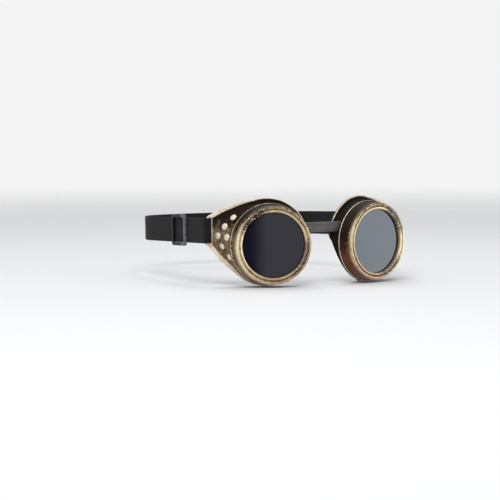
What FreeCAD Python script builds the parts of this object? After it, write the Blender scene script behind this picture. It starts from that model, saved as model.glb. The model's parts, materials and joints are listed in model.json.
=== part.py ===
import FreeCAD, Part
import math
import os

import Sketcher

# Goggles: two screw-ring eyecups on a rubber nose bridge, with an elastic head strap.
# Frame: +Z up, the lenses look along -Y, +X is the wearer's left. The origin lies on the
# plane of symmetry, at lens height, where the face meets the cups.
# The left side is modelled, and the right side is its mirror image.
# A cup is drawn in a frame of its own: X towards the temple, Y back from the ring's front, Z up.

Vector = FreeCAD.Vector
doc = FreeCAD.newDocument("goggles")

SIZES = [
    ("lens_offset", 47.5, "from the plane of symmetry to each lens centre"),
    ("face_gap", 28.0, "from the ring's front to the face plane"),
    ("toe", 12.5, "degrees that each lens looks outwards"),
    ("fit_gap", 0.3, "clearance between pieces that move past each other"),
    ("seat_gap", 0.05, "clearance between stacked flat faces"),
    ("overrun", 4.0, "how far a cut runs past what it cuts"),
    # lens ring
    ("lip_cover", 2.9, "how far the ring's lip covers the lens"),
    ("bead_depth", 1.7, "front crest to the foot of the beads"),
    ("groove_in", 2.2, "clear opening out to the groove between the two beads"),
    ("groove_depth", 1.1, "front crest to the bottom of the groove"),
    ("inner_bead_radius", 1.35, "round of the inner bead"),
    ("outer_bead_radius", 1.5, "round of the outer bead"),
    ("front_step", 0.8, "straight part of the ring's outside in to the outer bead"),
    ("ring_wall", 2.6, "ring's wall where its outside is straight"),
    ("skirt_start", 3.6, "front crest to the start of the straight part"),
    ("skirt_end", 9.6, "front crest to the end of the straight part"),
    ("tail_bead_stand", 1.1, "how far the bead at the back edge stands out"),
    ("ring_depth", 13.0, "front crest to the back of the ring"),
    ("tail_bead_width", 1.8, "width of the bead at the back edge"),
    ("lip_back", 3.0, "front crest to the back of the retaining lip"),
    ("thread_gap", 0.4, "ring bore to barrel, where the thread is"),
    # lens stack
    ("lens_thick", 2.0, "lens"),
    ("lens_edge", 0.3, "chamfer round the lens"),
    ("gasket_thick", 1.0, "gasket"),
    # eyecup
    ("barrel_radius", 28.0, "outside of the threaded barrel"),
    ("barrel_wall", 2.4, "wall of the barrel"),
    ("shoulder_step", 2.4, "barrel out to the cup wall just behind the ring"),
    ("wall", 2.0, "cup wall"),
    ("foot_depth", 31.0, "ring front to the plane of the wall's foot"),
    ("foot_flare", 3.8, "how far the wall flares out to the round part of its foot"),
    ("foot_rise", 1.4, "height of the foot's centre over the lens centre"),
    ("foot_upper", 74.0, "degrees, where the wing's upper edge starts"),
    ("foot_lower", -58.0, "degrees, where the wing's lower edge starts"),
    ("wing_reach", 7.9, "round part of the foot out to the end of the wing's wall"),
    ("foot_tip_half", 9.4, "half the height of the wing's end"),
    ("foot_corner", 3.0, "corners of the wing's end"),
    ("corner_share", 1.3, "round of a wing's corner, as a share of the corner"),
    ("wing_upper_round", 72.0, "round of the wing's upper edge"),
    ("wing_lower_round", 120.0, "round of the wing's lower edge"),
    ("rim_nose_spare", 5.4, "rim lip to the nose end of the rim's curve"),
    ("rim_nose_depth", 22.5, "depth of the rim's curve at that end"),
    ("rim_temple_spare", 7.4, "rim lip to the temple end of the rim's curve"),
    ("rim_temple_depth", 33.0, "depth of the rim's curve at that end"),
    ("rim_round", 300.0, "round of the rim, seen from above"),
    ("lip_thick", 1.8, "rim lip"),
    ("lip_stand", 0.4, "how far the rim lip stands out round the wall's foot"),
    ("lip_reach_upper", 4.3, "end of the wing's wall to the lip's upper corner"),
    ("lip_reach_lower", 5.5, "end of the wing's wall to the lip's lower corner"),
    ("lip_end", 2.0, "lip above and below the strap slot"),
    ("lip_corner", 2.6, "corners of the lip's end"),
    ("slot_step", 0.6, "end of the wing's wall to the strap slot"),
    ("slot_width", 2.0, "strap slot"),
    ("relief_turn", 40.0, "degrees below level that the nose relief faces"),
    ("relief_radius", 60.0, "round of the nose relief"),
    ("relief_in", 60.0, "lens centre in to the centre of the relief"),
    ("relief_back", 8.6, "ring front to the front of the relief"),
    # studs on the wing
    ("stud_radius", 2.8, "stud"),
    ("stud_height", 1.3, "how far a stud stands out"),
    ("stud_sink", 0.7, "how far a stud's foot is let into the wall"),
    ("stud_line_turn", 9.9, "degrees of the line of studs above level"),
    ("stud_mid_turn", 12.4, "degrees of the middle pair from that line"),
    ("stud_outer_turn", 27.7, "degrees of the outer pair from that line"),
    ("stud_first_depth", 17.9, "ring front to the first stud"),
    ("stud_last_depth", 25.4, "ring front to the stud nearest the slot"),
    ("stud_upper_depth", 20.8, "ring front to the upper of the middle pair"),
    ("stud_lower_depth", 24.6, "ring front to the lower of the middle pair"),
    ("stud_outer_depth", 20.0, "ring front to the outer pair"),
    # nose bridge
    ("bridge_rise", 12.2, "lens centre up to the middle of the band"),
    ("bridge_height", 8.0, "band"),
    ("bridge_thick", 1.6, "band"),
    ("bridge_edge", 0.5, "rounded long edges of the band"),
    ("bridge_bead_radius", 2.4, "round bead at each end"),
    ("bridge_bead_height", 6.0, "round bead at each end"),
    ("bridge_bead_inset", 5.4, "inside of the barrel to the middle of the bead"),
    ("bridge_bead_depth", 15.6, "ring front to the bead"),
    ("bridge_swing", 1.0, "room in the nose slot for the swing, each side"),
    # strap and slider
    ("strap_rise", 10.6, "lens centre up to the middle of the strap"),
    ("strap_width", 19.8, "strap"),
    ("strap_thick", 1.2, "strap"),
    ("strap_lean", 4.0, "degrees that the strap's sides lean in"),
    ("strap_dip", 2.2, "degrees that the strap dips from the slots to the back"),
    ("head_centre", 112.0, "face plane back to the centre of the strap's round"),
    ("loop_radius", 1.9, "inside of the strap's turn round the slot's bar"),
    ("loop_forward", 1.0, "centre of that turn in front of the middle of the bar"),
    ("loop_length", 22.0, "slot's bar back to the end of the strap's turn"),
    ("left_bend", 3.6, "slot's bar back to where the left end slants out to the strap"),
    ("left_join", 14.0, "slot's bar back to where the left end meets the strap"),
    ("left_end", 38.0, "slot's bar back to the left sewn end"),
    ("slider_start", 33.2, "slot's bar back to the slider"),
    ("slider_length", 27.0, "slider along the strap"),
    ("slider_height", 25.0, "slider across the strap"),
    ("slider_thick", 1.8, "slider frame"),
    ("slider_bar", 3.0, "bars of the slider"),
    ("slider_round", 2.0, "corners of the slider"),
    ("sewn_length", 9.0, "sewn end in front of the slider's middle bar"),
    ("sewn_step", 3.0, "where the sewn end comes down onto the strap"),
    ("middle_bar_thick", 1.3, "slider's middle bar"),
    ("bar_play", 0.15, "webbing to the slider's middle bar"),
]


class Size:
    """A size as an expression over the sheet's cells, with its present value."""

    def __init__(self, text, value):
        self.text = text
        self.value = value

    def __add__(self, other):
        other = size(other)
        return Size(f"({self.text} + {other.text})", self.value + other.value)

    def __sub__(self, other):
        other = size(other)
        return Size(f"({self.text} - {other.text})", self.value - other.value)

    def __mul__(self, other):
        other = size(other)
        return Size(f"({self.text} * {other.text})", self.value * other.value)

    def __truediv__(self, other):
        other = size(other)
        return Size(f"({self.text} / {other.text})", self.value / other.value)

    def __neg__(self):
        return Size(f"(0 - {self.text})", -self.value)

    def __rmul__(self, other):
        return size(other) * self

    def __radd__(self, other):
        return size(other) + self

    def __rsub__(self, other):
        return size(other) - self


def size(number):
    return number if isinstance(number, Size) else Size(repr(number), number)


def sine(angle):
    return Size(f"sin({angle.text})", math.sin(math.radians(angle.value)))


def cosine(angle):
    return Size(f"cos({angle.text})", math.cos(math.radians(angle.value)))


def root(number):
    return Size(f"sqrt({number.text})", math.sqrt(number.value))


def make_sheet():
    sheet = doc.addObject("Spreadsheet::Sheet", "Sizes")
    found = {}
    for row, (alias, value, note) in enumerate(SIZES, start=1):
        sheet.set(f"A{row}", alias)
        sheet.set(f"B{row}", str(value))
        sheet.set(f"C{row}", note)
        sheet.setAlias(f"B{row}", alias)
        found[alias] = Size(f"Sizes.{alias}", float(value))
    doc.recompute()
    return found


S = make_sheet()
ZERO = size(0.0)


def bind(thing, **sizes):
    for name, value in sizes.items():
        thing.setExpression(name.replace("__", "."), size(value).text)


def place(thing, x, y, z, turn=ZERO, dip=ZERO):
    """Binds where a piece stands, its turn about the vertical, and how far its back then dips."""
    spot = Vector(x.value, y.value, z.value)
    dipped = FreeCAD.Rotation(Vector(1, 0, 0), -dip.value)
    turned = FreeCAD.Rotation(Vector(0, 0, 1), turn.value)
    thing.Placement = FreeCAD.Placement(spot, dipped.multiply(turned))
    thing.setExpression(
        "Placement",
        f"create(<<placement>>; create(<<vector>>; {x.text}; {y.text}; {z.text}); "
        f"create(<<rotation>>; create(<<vector>>; 1; 0; 0); {(-dip).text}) * "
        f"create(<<rotation>>; create(<<vector>>; 0; 0; 1); {turn.text}))",
    )


def cup_point(out, back, up):
    """World place of a point given in the left cup's frame."""
    x = S["lens_offset"] + out * cosine(S["toe"]) - back * sine(S["toe"])
    y = out * sine(S["toe"]) + back * cosine(S["toe"]) - S["face_gap"]
    return x, y, up


def make_body(name):
    return doc.addObject("PartDesign::Body", name)


def make_sketch(body, name, plane, offset=ZERO):
    sketch = body.newObject("Sketcher::SketchObject", name)
    support = [f for f in body.Origin.OriginFeatures if f.Role == plane][0]
    sketch.AttachmentSupport = (support, [""])
    sketch.MapMode = "FlatFace"
    sketch.setExpression("AttachmentOffset.Base.z", offset.text)
    return sketch


def pin_point(sketch, edge, end, x, y):
    """Holds one end of an edge at a bound place."""
    for kind, value in (("DistanceX", x), ("DistanceY", y)):
        row = sketch.addConstraint(Sketcher.Constraint(kind, -1, 1, edge, end, value.value))
        sketch.setExpression(f"Constraints[{row}]", value.text)


def arc_of(first, last, radius, left, large):
    """Arc between two points: left if its centre lies to the left of the way."""
    chord = last - first
    reach = math.sqrt(max(radius**2 - (chord.Length / 2) ** 2, 0.0))
    across = Vector(-chord.y, chord.x, 0).normalize() * reach
    centre = (first + last) / 2 + (across if left != large else -across)
    circle = Part.Circle(centre, Vector(0, 0, 1), radius)
    ends = (first, last) if left else (last, first)
    angles = [math.atan2(p.y - centre.y, p.x - centre.x) for p in ends]
    if angles[1] <= angles[0]:
        angles[1] += 2 * math.pi
    return Part.ArcOfCircle(circle, *angles)


def draw(sketch, path):
    """Closed outline. A step is (x, y), or (x, y, radius, left, large) for an arc that ends there."""
    base = sketch.GeometryCount
    spots = [Vector(size(step[0]).value, size(step[1]).value, 0) for step in path]
    heads, tails = [], []
    for n, step in enumerate(path):
        first = spots[n - 1]
        last = spots[n]
        if len(step) == 2:
            edge = sketch.addGeometry(Part.LineSegment(first, last))
            heads.append((edge, 1))
            tails.append((edge, 2))
        else:
            edge = sketch.addGeometry(arc_of(first, last, step[2].value, step[3], step[4]))
            heads.append((edge, 1 if step[3] else 2))
            tails.append((edge, 2 if step[3] else 1))
    for n in range(len(path)):
        after = (n + 1) % len(path)
        sketch.addConstraint(Sketcher.Constraint("Coincident", *tails[n], *heads[after]))
    for n, step in enumerate(path):
        pin_point(sketch, *tails[n], size(step[0]), size(step[1]))
        if len(step) > 2:
            row = sketch.addConstraint(Sketcher.Constraint("Radius", base + n, step[2].value))
            sketch.setExpression(f"Constraints[{row}]", step[2].text)


def draw_circle(sketch, x, y, radius):
    spot = Vector(x.value, y.value, 0)
    edge = sketch.addGeometry(Part.Circle(spot, Vector(0, 0, 1), radius.value))
    pin_point(sketch, edge, 3, x, y)
    row = sketch.addConstraint(Sketcher.Constraint("Radius", edge, radius.value))
    sketch.setExpression(f"Constraints[{row}]", radius.text)


def draw_box(sketch, left, right, low, high):
    draw(sketch, [(right, low), (right, high), (left, high), (left, low)])


def revolve(body, name, path):
    """Turns an outline of (radius, depth) about the cup's Y axis."""
    sketch = make_sketch(body, name + "_outline", "XY_Plane")
    draw(sketch, path)
    turned = body.newObject("PartDesign::Revolution", name)
    turned.Profile = sketch
    turned.ReferenceAxis = (sketch, ["V_Axis"])
    turned.Angle = 360
    body.Tip = turned
    doc.recompute()
    return turned


def pad(body, name, sketch, length, both=True):
    made = body.newObject("PartDesign::Pad", name)
    made.Profile = sketch
    made.SideType = "Symmetric" if both else "One side"
    bind(made, Length=length)
    body.Tip = made
    doc.recompute()
    return made


def pocket(body, name, sketch, both=True):
    made = body.newObject("PartDesign::Pocket", name)
    made.Profile = sketch
    made.Type = "ThroughAll"
    made.SideType = "Symmetric" if both else "One side"
    body.Tip = made
    doc.recompute()
    return made


def loft(body, name, kind, first, last):
    made = body.newObject(kind, name)
    made.Profile = first
    made.Sections = [last]
    made.Ruled = True
    body.Tip = made
    doc.recompute()
    return made


def cup_body(name):
    body = make_body(name)
    place(body, *cup_point(ZERO, ZERO, ZERO), S["toe"])
    return body


# Radii, all worked out from the barrel
barrel_bore = S["barrel_radius"] - S["barrel_wall"]
ring_bore = S["barrel_radius"] + S["thread_gap"]
aperture = ring_bore - S["lip_cover"]
skirt_radius = ring_bore + S["ring_wall"]
shoulder_radius = S["barrel_radius"] + S["shoulder_step"]
foot_radius = shoulder_radius + S["foot_flare"]
foot_tip = foot_radius + S["wing_reach"]
lip_radius = foot_radius + S["lip_stand"]
lip_tip_upper = foot_tip + S["lip_reach_upper"]
lip_tip_lower = foot_tip + S["lip_reach_lower"]
rim_nose_reach = lip_radius + S["rim_nose_spare"]
rim_temple_reach = lip_tip_lower + S["rim_temple_spare"]
slot_start = foot_tip + S["slot_step"]

# Lens ring
bead_back = S["ring_depth"] - S["tail_bead_width"]
tail_bead = skirt_radius + S["tail_bead_stand"]
ring = cup_body("left_lens_ring")
revolve(
    ring,
    "ring_turning",
    [
        (aperture, S["lip_back"]),
        (aperture, S["bead_depth"]),
        (aperture + S["groove_in"], S["groove_depth"], S["inner_bead_radius"], True, False),
        (skirt_radius - S["front_step"], S["bead_depth"], S["outer_bead_radius"], True, False),
        (skirt_radius, S["skirt_start"]),
        (skirt_radius, S["skirt_end"]),
        (tail_bead, bead_back),
        (tail_bead, S["ring_depth"]),
        (ring_bore, S["ring_depth"]),
        (ring_bore, S["lip_back"]),
    ],
)

# Lens and gasket, stacked behind the ring's lip
lens_front = S["lip_back"] + S["seat_gap"]
lens_back = lens_front + S["lens_thick"]
lens_radius = ring_bore - S["fit_gap"]
lens = cup_body("left_lens")
revolve(
    lens,
    "lens_turning",
    [
        (ZERO, lens_front),
        (lens_radius - S["lens_edge"], lens_front),
        (lens_radius, lens_front + S["lens_edge"]),
        (lens_radius, lens_back - S["lens_edge"]),
        (lens_radius - S["lens_edge"], lens_back),
        (ZERO, lens_back),
    ],
)
gasket_front = lens_back + S["seat_gap"]
barrel_front = gasket_front + S["gasket_thick"]
gasket = cup_body("left_lens_gasket")
revolve(
    gasket,
    "gasket_turning",
    [
        (barrel_bore, gasket_front),
        (S["barrel_radius"], gasket_front),
        (S["barrel_radius"], barrel_front),
        (barrel_bore, barrel_front),
    ],
)

# Eyecup
cup = cup_body("left_cup_shell")
shoulder = S["ring_depth"] + S["fit_gap"]
slot_half = S["strap_width"] / 2 + S["fit_gap"]
slot_top = S["strap_rise"] + slot_half
slot_low = S["strap_rise"] - slot_half
rim_back = S["foot_depth"] + S["rim_temple_depth"]
nose_end = (-rim_nose_reach, S["rim_nose_depth"])
temple_end = (rim_temple_reach, S["rim_temple_depth"])


def rim_arc(spot, left):
    return (*spot, S["rim_round"], left, False)


def wing_path(radius, tip_upper, tip_lower, top, low, corner):
    """Outline of the cup seen from the front: a circle with a wing drawn out to the temple."""
    upper_x = radius * cosine(S["foot_upper"])
    upper_y = radius * sine(S["foot_upper"]) + S["foot_rise"]
    lower_x = radius * cosine(S["foot_lower"])
    lower_y = radius * sine(S["foot_lower"]) + S["foot_rise"]
    return [
        (lower_x, lower_y, radius, True, True),
        (tip_lower - corner, low, S["wing_lower_round"], True, False),
        (tip_lower, low + corner, corner * S["corner_share"], True, False),
        (tip_upper, top - corner),
        (tip_upper - corner, top, corner * S["corner_share"], True, False),
        (upper_x, upper_y, S["wing_upper_round"], True, False),
    ]


def round_path(radius, path):
    """A circle cut at the same bearings as the wing's outline, so that the two can be lofted."""
    found = []
    for n, step in enumerate(path):
        x, y = size(step[0]), size(step[1])
        far = root(x * x + y * y)
        found.append((x / far * radius, y / far * radius, radius, True, n == 0))
    return found


lip = make_sketch(cup, "lip_section", "XY_Plane")
draw(
    lip,
    [
        (nose_end[0], nose_end[1] - S["lip_thick"]),
        rim_arc((temple_end[0], temple_end[1] - S["lip_thick"]), True),
        temple_end,
        rim_arc(nose_end, False),
    ],
)
reach = lip_radius * 2 + S["overrun"]
pad(cup, "lip_band", lip, reach * 2)

lip_outline = make_sketch(cup, "lip_outline", "XZ_Plane")
draw_box(lip_outline, -reach, reach, -reach, reach)
draw(
    lip_outline,
    wing_path(
        lip_radius,
        lip_tip_upper,
        lip_tip_lower,
        slot_top + S["lip_end"],
        slot_low - S["lip_end"],
        S["lip_corner"],
    ),
)
pocket(cup, "lip_trim", lip_outline)


def wall_sketches(name, inset, front, front_radius, foot):
    """Front circle and wing-shaped foot of a loft, drawn in by the inset."""
    path = wing_path(
        foot_radius - inset,
        foot_tip - inset,
        foot_tip - inset,
        S["strap_rise"] + S["foot_tip_half"] - inset,
        S["strap_rise"] - S["foot_tip_half"] + inset,
        S["foot_corner"],
    )
    near = make_sketch(cup, name + "_front", "XZ_Plane", -front)
    draw(near, round_path(front_radius, path))
    far = make_sketch(cup, name + "_foot", "XZ_Plane", -foot)
    draw(far, path)
    return near, far


outer = wall_sketches("wall", ZERO, shoulder, shoulder_radius, S["foot_depth"])
wall_loft = loft(cup, "wall_loft", "PartDesign::AdditiveLoft", *outer)
barrel = make_sketch(cup, "barrel_circle", "XZ_Plane", -(shoulder + S["wall"]))
draw_circle(barrel, ZERO, ZERO, S["barrel_radius"])
pad(cup, "barrel", barrel, shoulder + S["wall"] - barrel_front, both=False)
inner = wall_sketches(
    "cavity",
    S["wall"],
    shoulder + S["wall"],
    shoulder_radius - S["wall"],
    S["foot_depth"] + S["overrun"],
)
loft(cup, "cavity", "PartDesign::SubtractiveLoft", *inner)
bore = make_sketch(cup, "bore_circle", "XZ_Plane")
draw_circle(bore, ZERO, ZERO, barrel_bore)
pocket(cup, "bore", bore)
face_side = make_sketch(cup, "face_side", "XY_Plane")
draw(
    face_side,
    [
        nose_end,
        rim_arc(temple_end, True),
        (temple_end[0], rim_back),
        (nose_end[0], rim_back),
    ],
)
pocket(cup, "face_cut", face_side)
strap_slot = make_sketch(cup, "strap_slot_outline", "XZ_Plane")
draw_box(strap_slot, slot_start, slot_start + S["slot_width"], slot_low, slot_top)
pocket(cup, "strap_slot", strap_slot)
relief = make_sketch(cup, "relief_circle", "XY_Plane")
relief.setExpression(
    "AttachmentOffset",
    "create(<<placement>>; create(<<vector>>; 0; 0; 0); "
    f"create(<<rotation>>; create(<<vector>>; 0; 1; 0); {(-S['relief_turn']).text}))",
)
draw_circle(relief, -S["relief_in"], S["relief_back"] + S["relief_radius"], S["relief_radius"])
pocket(cup, "nose_relief", relief)

# Nose bridge: a flat band with a round bead at each end
bead_in = barrel_bore - S["bridge_bead_inset"]
bead_x, bead_y, _ = cup_point(-bead_in, S["bridge_bead_depth"], ZERO)
bridge = make_body("nose_bridge")
place(bridge, ZERO, bead_y, S["bridge_rise"])
band = make_sketch(bridge, "band_outline", "YZ_Plane")
half_thick = S["bridge_thick"] / 2
half_height = S["bridge_height"] / 2
edge = S["bridge_edge"]
draw(
    band,
    [
        (half_thick, half_height - edge),
        (half_thick - edge, half_height, edge, True, False),
        (edge - half_thick, half_height),
        (-half_thick, half_height - edge, edge, True, False),
        (-half_thick, edge - half_height),
        (edge - half_thick, -half_height, edge, True, False),
        (half_thick - edge, -half_height),
        (half_thick, edge - half_height, edge, True, False),
    ],
)
pad(bridge, "band", band, bead_x * 2)
beads = make_sketch(bridge, "bead_circles", "XY_Plane")
draw_circle(beads, bead_x, ZERO, S["bridge_bead_radius"])
draw_circle(beads, -bead_x, ZERO, S["bridge_bead_radius"])
pad(bridge, "beads", beads, S["bridge_bead_height"])

# Nose slot through the cup's wall, with room for the band's swing
nose_slot = doc.addObject("Part::Box", "nose_slot")
slot_wide = S["bridge_thick"] + (S["bridge_swing"] + S["fit_gap"]) * 2
slot_high = S["bridge_height"] + S["fit_gap"] * 2
slot_long = bead_in + S["bridge_bead_radius"] + S["fit_gap"]
bind(nose_slot, Length=slot_long, Width=slot_wide, Height=slot_high)
place(
    nose_slot,
    bead_x - bead_in,
    bead_y - slot_wide / 2,
    S["bridge_rise"] - slot_high / 2,
)
bead_seat = doc.addObject("Part::Cylinder", "bead_seat")
seat_high = S["bridge_bead_height"] + S["fit_gap"] * 2
bind(bead_seat, Radius=S["bridge_bead_radius"] + S["fit_gap"], Height=seat_high)
place(bead_seat, bead_x, bead_y, S["bridge_rise"] - seat_high / 2)
doc.recompute()

# Studs: each is seated square on the wall, where a line from the lens axis comes out through it
wall_solid = wall_loft.AddSubShape
STUDS = [
    (ZERO, "stud_first_depth"),
    (ZERO, "stud_last_depth"),
    (S["stud_mid_turn"], "stud_upper_depth"),
    (-S["stud_mid_turn"], "stud_lower_depth"),
    (S["stud_outer_turn"], "stud_outer_depth"),
    (-S["stud_outer_turn"], "stud_outer_depth"),
]


def stud_seat(turn, depth):
    """Placement of a stud: its foot on the wall, its Z axis along the wall's normal."""
    angle = math.radians(S["stud_line_turn"].value + turn.value)
    start = Vector(0, S[depth].value, 0)
    way = Vector(math.cos(angle), 0, math.sin(angle))
    line = Part.makeLine(start, start + way * reach.value)
    inside = wall_solid.common(line)
    spot = max((v.Point for v in inside.Vertexes), key=lambda p: (p - start).Length)
    for face in wall_solid.Faces:
        if face.distToShape(Part.Vertex(spot))[0] < S["seat_gap"].value:
            normal = face.normalAt(*face.Surface.parameter(spot))
            break
    if normal.dot(way) < 0:
        normal = -normal
    return cup.Placement * FreeCAD.Placement(spot, FreeCAD.Rotation(Vector(0, 0, 1), normal))


def stud_shape():
    """Domed head over a short cylinder that is let into the wall."""
    radius = S["stud_radius"].value
    height = S["stud_height"].value
    ball = (radius**2 + height**2) / (2 * height)
    foot = Part.makeCylinder(radius, S["stud_sink"].value, Vector(0, 0, -S["stud_sink"].value))
    cap = Part.makeSphere(ball, Vector(0, 0, height - ball))
    post = Part.makeCylinder(radius, height * 2)
    return foot.fuse(cap.common(post)).removeSplitter()


seats = [stud_seat(turn, depth) for turn, depth in STUDS]
studs = doc.addObject("Part::Feature", "left_wing_studs")
studs.Shape = Part.makeCompound([stud_shape().transformed(s.toMatrix()) for s in seats])
pits = doc.addObject("Part::Feature", "stud_pits")
pit = Part.makeCylinder(
    S["stud_radius"].value + S["seat_gap"].value,
    S["stud_sink"].value + S["overrun"].value,
    Vector(0, 0, -S["stud_sink"].value),
)
pits.Shape = Part.makeCompound([pit.transformed(s.toMatrix()) for s in seats])

slotted = doc.addObject("Part::Cut", "slotted_cup")
slotted.Base = cup
slotted.Tool = nose_slot
seated = doc.addObject("Part::Cut", "seated_cup")
seated.Base = slotted
seated.Tool = bead_seat
eyecup = doc.addObject("Part::Cut", "left_eyecup")
eyecup.Base = seated
eyecup.Tool = pits
doc.recompute()

# Strap: drawn in a frame at the slot's bar, X out from the head, Y back along the strap
bar_centre = (slot_start + S["slot_width"] + lip_tip_lower) / 2
rim_half = (rim_nose_reach + rim_temple_reach) / 2
rim_middle = (rim_temple_reach - rim_nose_reach) / 2
rim_slope = (S["rim_temple_depth"] - S["rim_nose_depth"]) / (rim_half * 2)
bar_from_middle = bar_centre - rim_middle
bar_chord = S["rim_nose_depth"] + (bar_centre + rim_nose_reach) * rim_slope
bar_sag = (rim_half * rim_half - bar_from_middle * bar_from_middle) / (S["rim_round"] * 2)
bar_depth = bar_chord - bar_sag - S["lip_thick"] / 2 - S["loop_forward"]
bar_x, bar_y, _ = cup_point(bar_centre, bar_depth, ZERO)
loop_outside = S["loop_radius"] + S["strap_thick"]
inside = -S["loop_radius"]


def strap_body(name):
    body = make_body(name)
    place(body, bar_x, bar_y, S["strap_rise"], S["strap_lean"], S["strap_dip"])
    return body


left_loop = strap_body("left_strap_loop")
turn = make_sketch(left_loop, "left_loop_outline", "XY_Plane")
join_out = S["loop_radius"] - S["seat_gap"]
draw(
    turn,
    [
        (-loop_outside, ZERO),
        (ZERO, -loop_outside, loop_outside, True, False),
        (loop_outside, ZERO, loop_outside, True, False),
        (loop_outside, S["loop_length"]),
        (S["loop_radius"], S["loop_length"]),
        (S["loop_radius"], ZERO),
        (ZERO, inside, S["loop_radius"], False, False),
        (inside, ZERO, S["loop_radius"], False, False),
        (inside, S["left_bend"]),
        (join_out, S["left_join"]),
        (join_out, S["left_end"]),
        (join_out - S["strap_thick"], S["left_end"]),
        (join_out - S["strap_thick"], S["left_join"]),
        (-loop_outside, S["left_bend"]),
    ],
)
pad(left_loop, "left_loop", turn, S["strap_width"])

middle_bar_y = S["slider_start"] + (S["slider_length"] - S["slider_bar"]) / 2
return_end = middle_bar_y - S["sewn_length"]
right_loop = strap_body("strap_turn")
back_turn = make_sketch(right_loop, "right_loop_outline", "XY_Plane")
draw(
    back_turn,
    [
        (-loop_outside, ZERO),
        (ZERO, -loop_outside, loop_outside, True, False),
        (loop_outside, ZERO, loop_outside, True, False),
        (loop_outside, S["loop_length"]),
        (S["loop_radius"], S["loop_length"]),
        (S["loop_radius"], ZERO),
        (ZERO, inside, S["loop_radius"], False, False),
        (inside, ZERO, S["loop_radius"], False, False),
        (inside, return_end),
        (-loop_outside, return_end),
    ],
)
pad(right_loop, "right_loop", back_turn, S["strap_width"])

# Slider: a flat frame outside the strap, with its middle bar dropped behind it
slider = strap_body("slider_mirror")
frame_in = loop_outside + S["fit_gap"]
frame_out = frame_in + S["slider_thick"]
slider_end = S["slider_start"] + S["slider_length"]
half_tall = S["slider_height"] / 2
window_half = S["strap_width"] / 2 + S["fit_gap"]
frame_face = make_sketch(slider, "frame_outline", "YZ_Plane", frame_in)
corner = S["slider_round"]
draw(
    frame_face,
    [
        (slider_end - corner, -half_tall),
        (slider_end, corner - half_tall, corner, True, False),
        (slider_end, half_tall - corner),
        (slider_end - corner, half_tall, corner, True, False),
        (S["slider_start"] + corner, half_tall),
        (S["slider_start"], half_tall - corner, corner, True, False),
        (S["slider_start"], corner - half_tall),
        (S["slider_start"] + corner, -half_tall, corner, True, False),
    ],
)
draw_box(
    frame_face,
    S["slider_start"] + S["slider_bar"],
    slider_end - S["slider_bar"],
    -window_half,
    window_half,
)
pad(slider, "frame", frame_face, S["slider_thick"], both=False)
bar_back = inside + S["bar_play"]
legs = make_sketch(slider, "legs_outline", "YZ_Plane", bar_back)
draw_box(legs, middle_bar_y, middle_bar_y + S["slider_bar"], -half_tall, half_tall)
pad(slider, "middle_bar", legs, S["middle_bar_thick"], both=False)
for side, name in ((1, "upper_leg"), (-1, "lower_leg")):
    leg = make_sketch(slider, name + "_outline", "YZ_Plane", bar_back)
    ends = sorted((window_half * side, half_tall * side), key=lambda s: s.value)
    draw_box(leg, middle_bar_y, middle_bar_y + S["slider_bar"], *ends)
    pad(slider, name, leg, frame_out - bar_back, both=False)

# Sewn end: the webbing goes round the middle bar and is sewn down onto itself
sewn = strap_body("sewn_mirror")
wrap = make_sketch(sewn, "sewn_outline", "XY_Plane")
wrap_out = bar_back + S["middle_bar_thick"] + S["bar_play"]
wrap_radius = (wrap_out - inside) / 2
wrap_y = middle_bar_y + S["slider_bar"] + S["bar_play"]
lay_down = middle_bar_y - S["sewn_step"]
wrap_mid = (wrap_out + inside) / 2
wrap_outside = wrap_radius + S["strap_thick"]
draw(
    wrap,
    [
        (-loop_outside, return_end + S["seat_gap"]),
        (inside + S["strap_thick"], return_end + S["seat_gap"]),
        (inside + S["strap_thick"], lay_down),
        (wrap_out + S["strap_thick"], middle_bar_y),
        (wrap_out + S["strap_thick"], wrap_y),
        (wrap_mid, wrap_y + wrap_outside, wrap_outside, True, False),
        (-loop_outside, wrap_y, wrap_outside, True, False),
    ],
)
eye = make_sketch(sewn, "eye_outline", "XY_Plane")
draw(
    eye,
    [
        (inside, middle_bar_y - S["bar_play"]),
        (wrap_out, middle_bar_y - S["bar_play"]),
        (wrap_out, wrap_y),
        (wrap_mid, wrap_y + wrap_radius, wrap_radius, True, False),
        (inside, wrap_y, wrap_radius, True, False),
    ],
)
pad(sewn, "sewn_webbing", wrap, S["strap_width"])
pocket(sewn, "bar_eye", eye)

# Head strap: two straight sides that run into a round behind the head
head = make_body("head_strap")
head_back = S["head_centre"] - bar_y
head_y = bar_y + head_back * cosine(S["strap_dip"])
head_z = S["strap_rise"] - head_back * sine(S["strap_dip"])
place(head, ZERO, head_y, head_z, ZERO, S["strap_dip"])
out_x, out_y = cosine(S["strap_lean"]), sine(S["strap_lean"])
bar_reach = bar_x * out_x + (bar_y - S["head_centre"]) * out_y
run = bar_x * out_y - (bar_y - S["head_centre"]) * out_x - S["loop_length"]
inner_round = bar_reach + S["loop_radius"]
outer_round = inner_round + S["strap_thick"]
run_x, run_y = run * out_y, run * out_x
loop_back = make_sketch(head, "head_outline", "XY_Plane")
draw(
    loop_back,
    [
        (outer_round * out_x, outer_round * out_y),
        (ZERO, outer_round, outer_round, True, False),
        (-outer_round * out_x, outer_round * out_y, outer_round, True, False),
        (-outer_round * out_x - run_x, outer_round * out_y - run_y),
        (-inner_round * out_x - run_x, inner_round * out_y - run_y),
        (-inner_round * out_x, inner_round * out_y),
        (ZERO, inner_round, inner_round, False, False),
        (inner_round * out_x, inner_round * out_y, inner_round, False, False),
        (inner_round * out_x + run_x, inner_round * out_y - run_y),
        (outer_round * out_x + run_x, outer_round * out_y - run_y),
    ],
)
pad(head, "head_band", loop_back, S["strap_width"])


def mirrored(label, source):
    made = doc.addObject("Part::Mirroring", label)
    made.Source = source
    made.Normal = (1, 0, 0)
    made.Label = label
    return made


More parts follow.
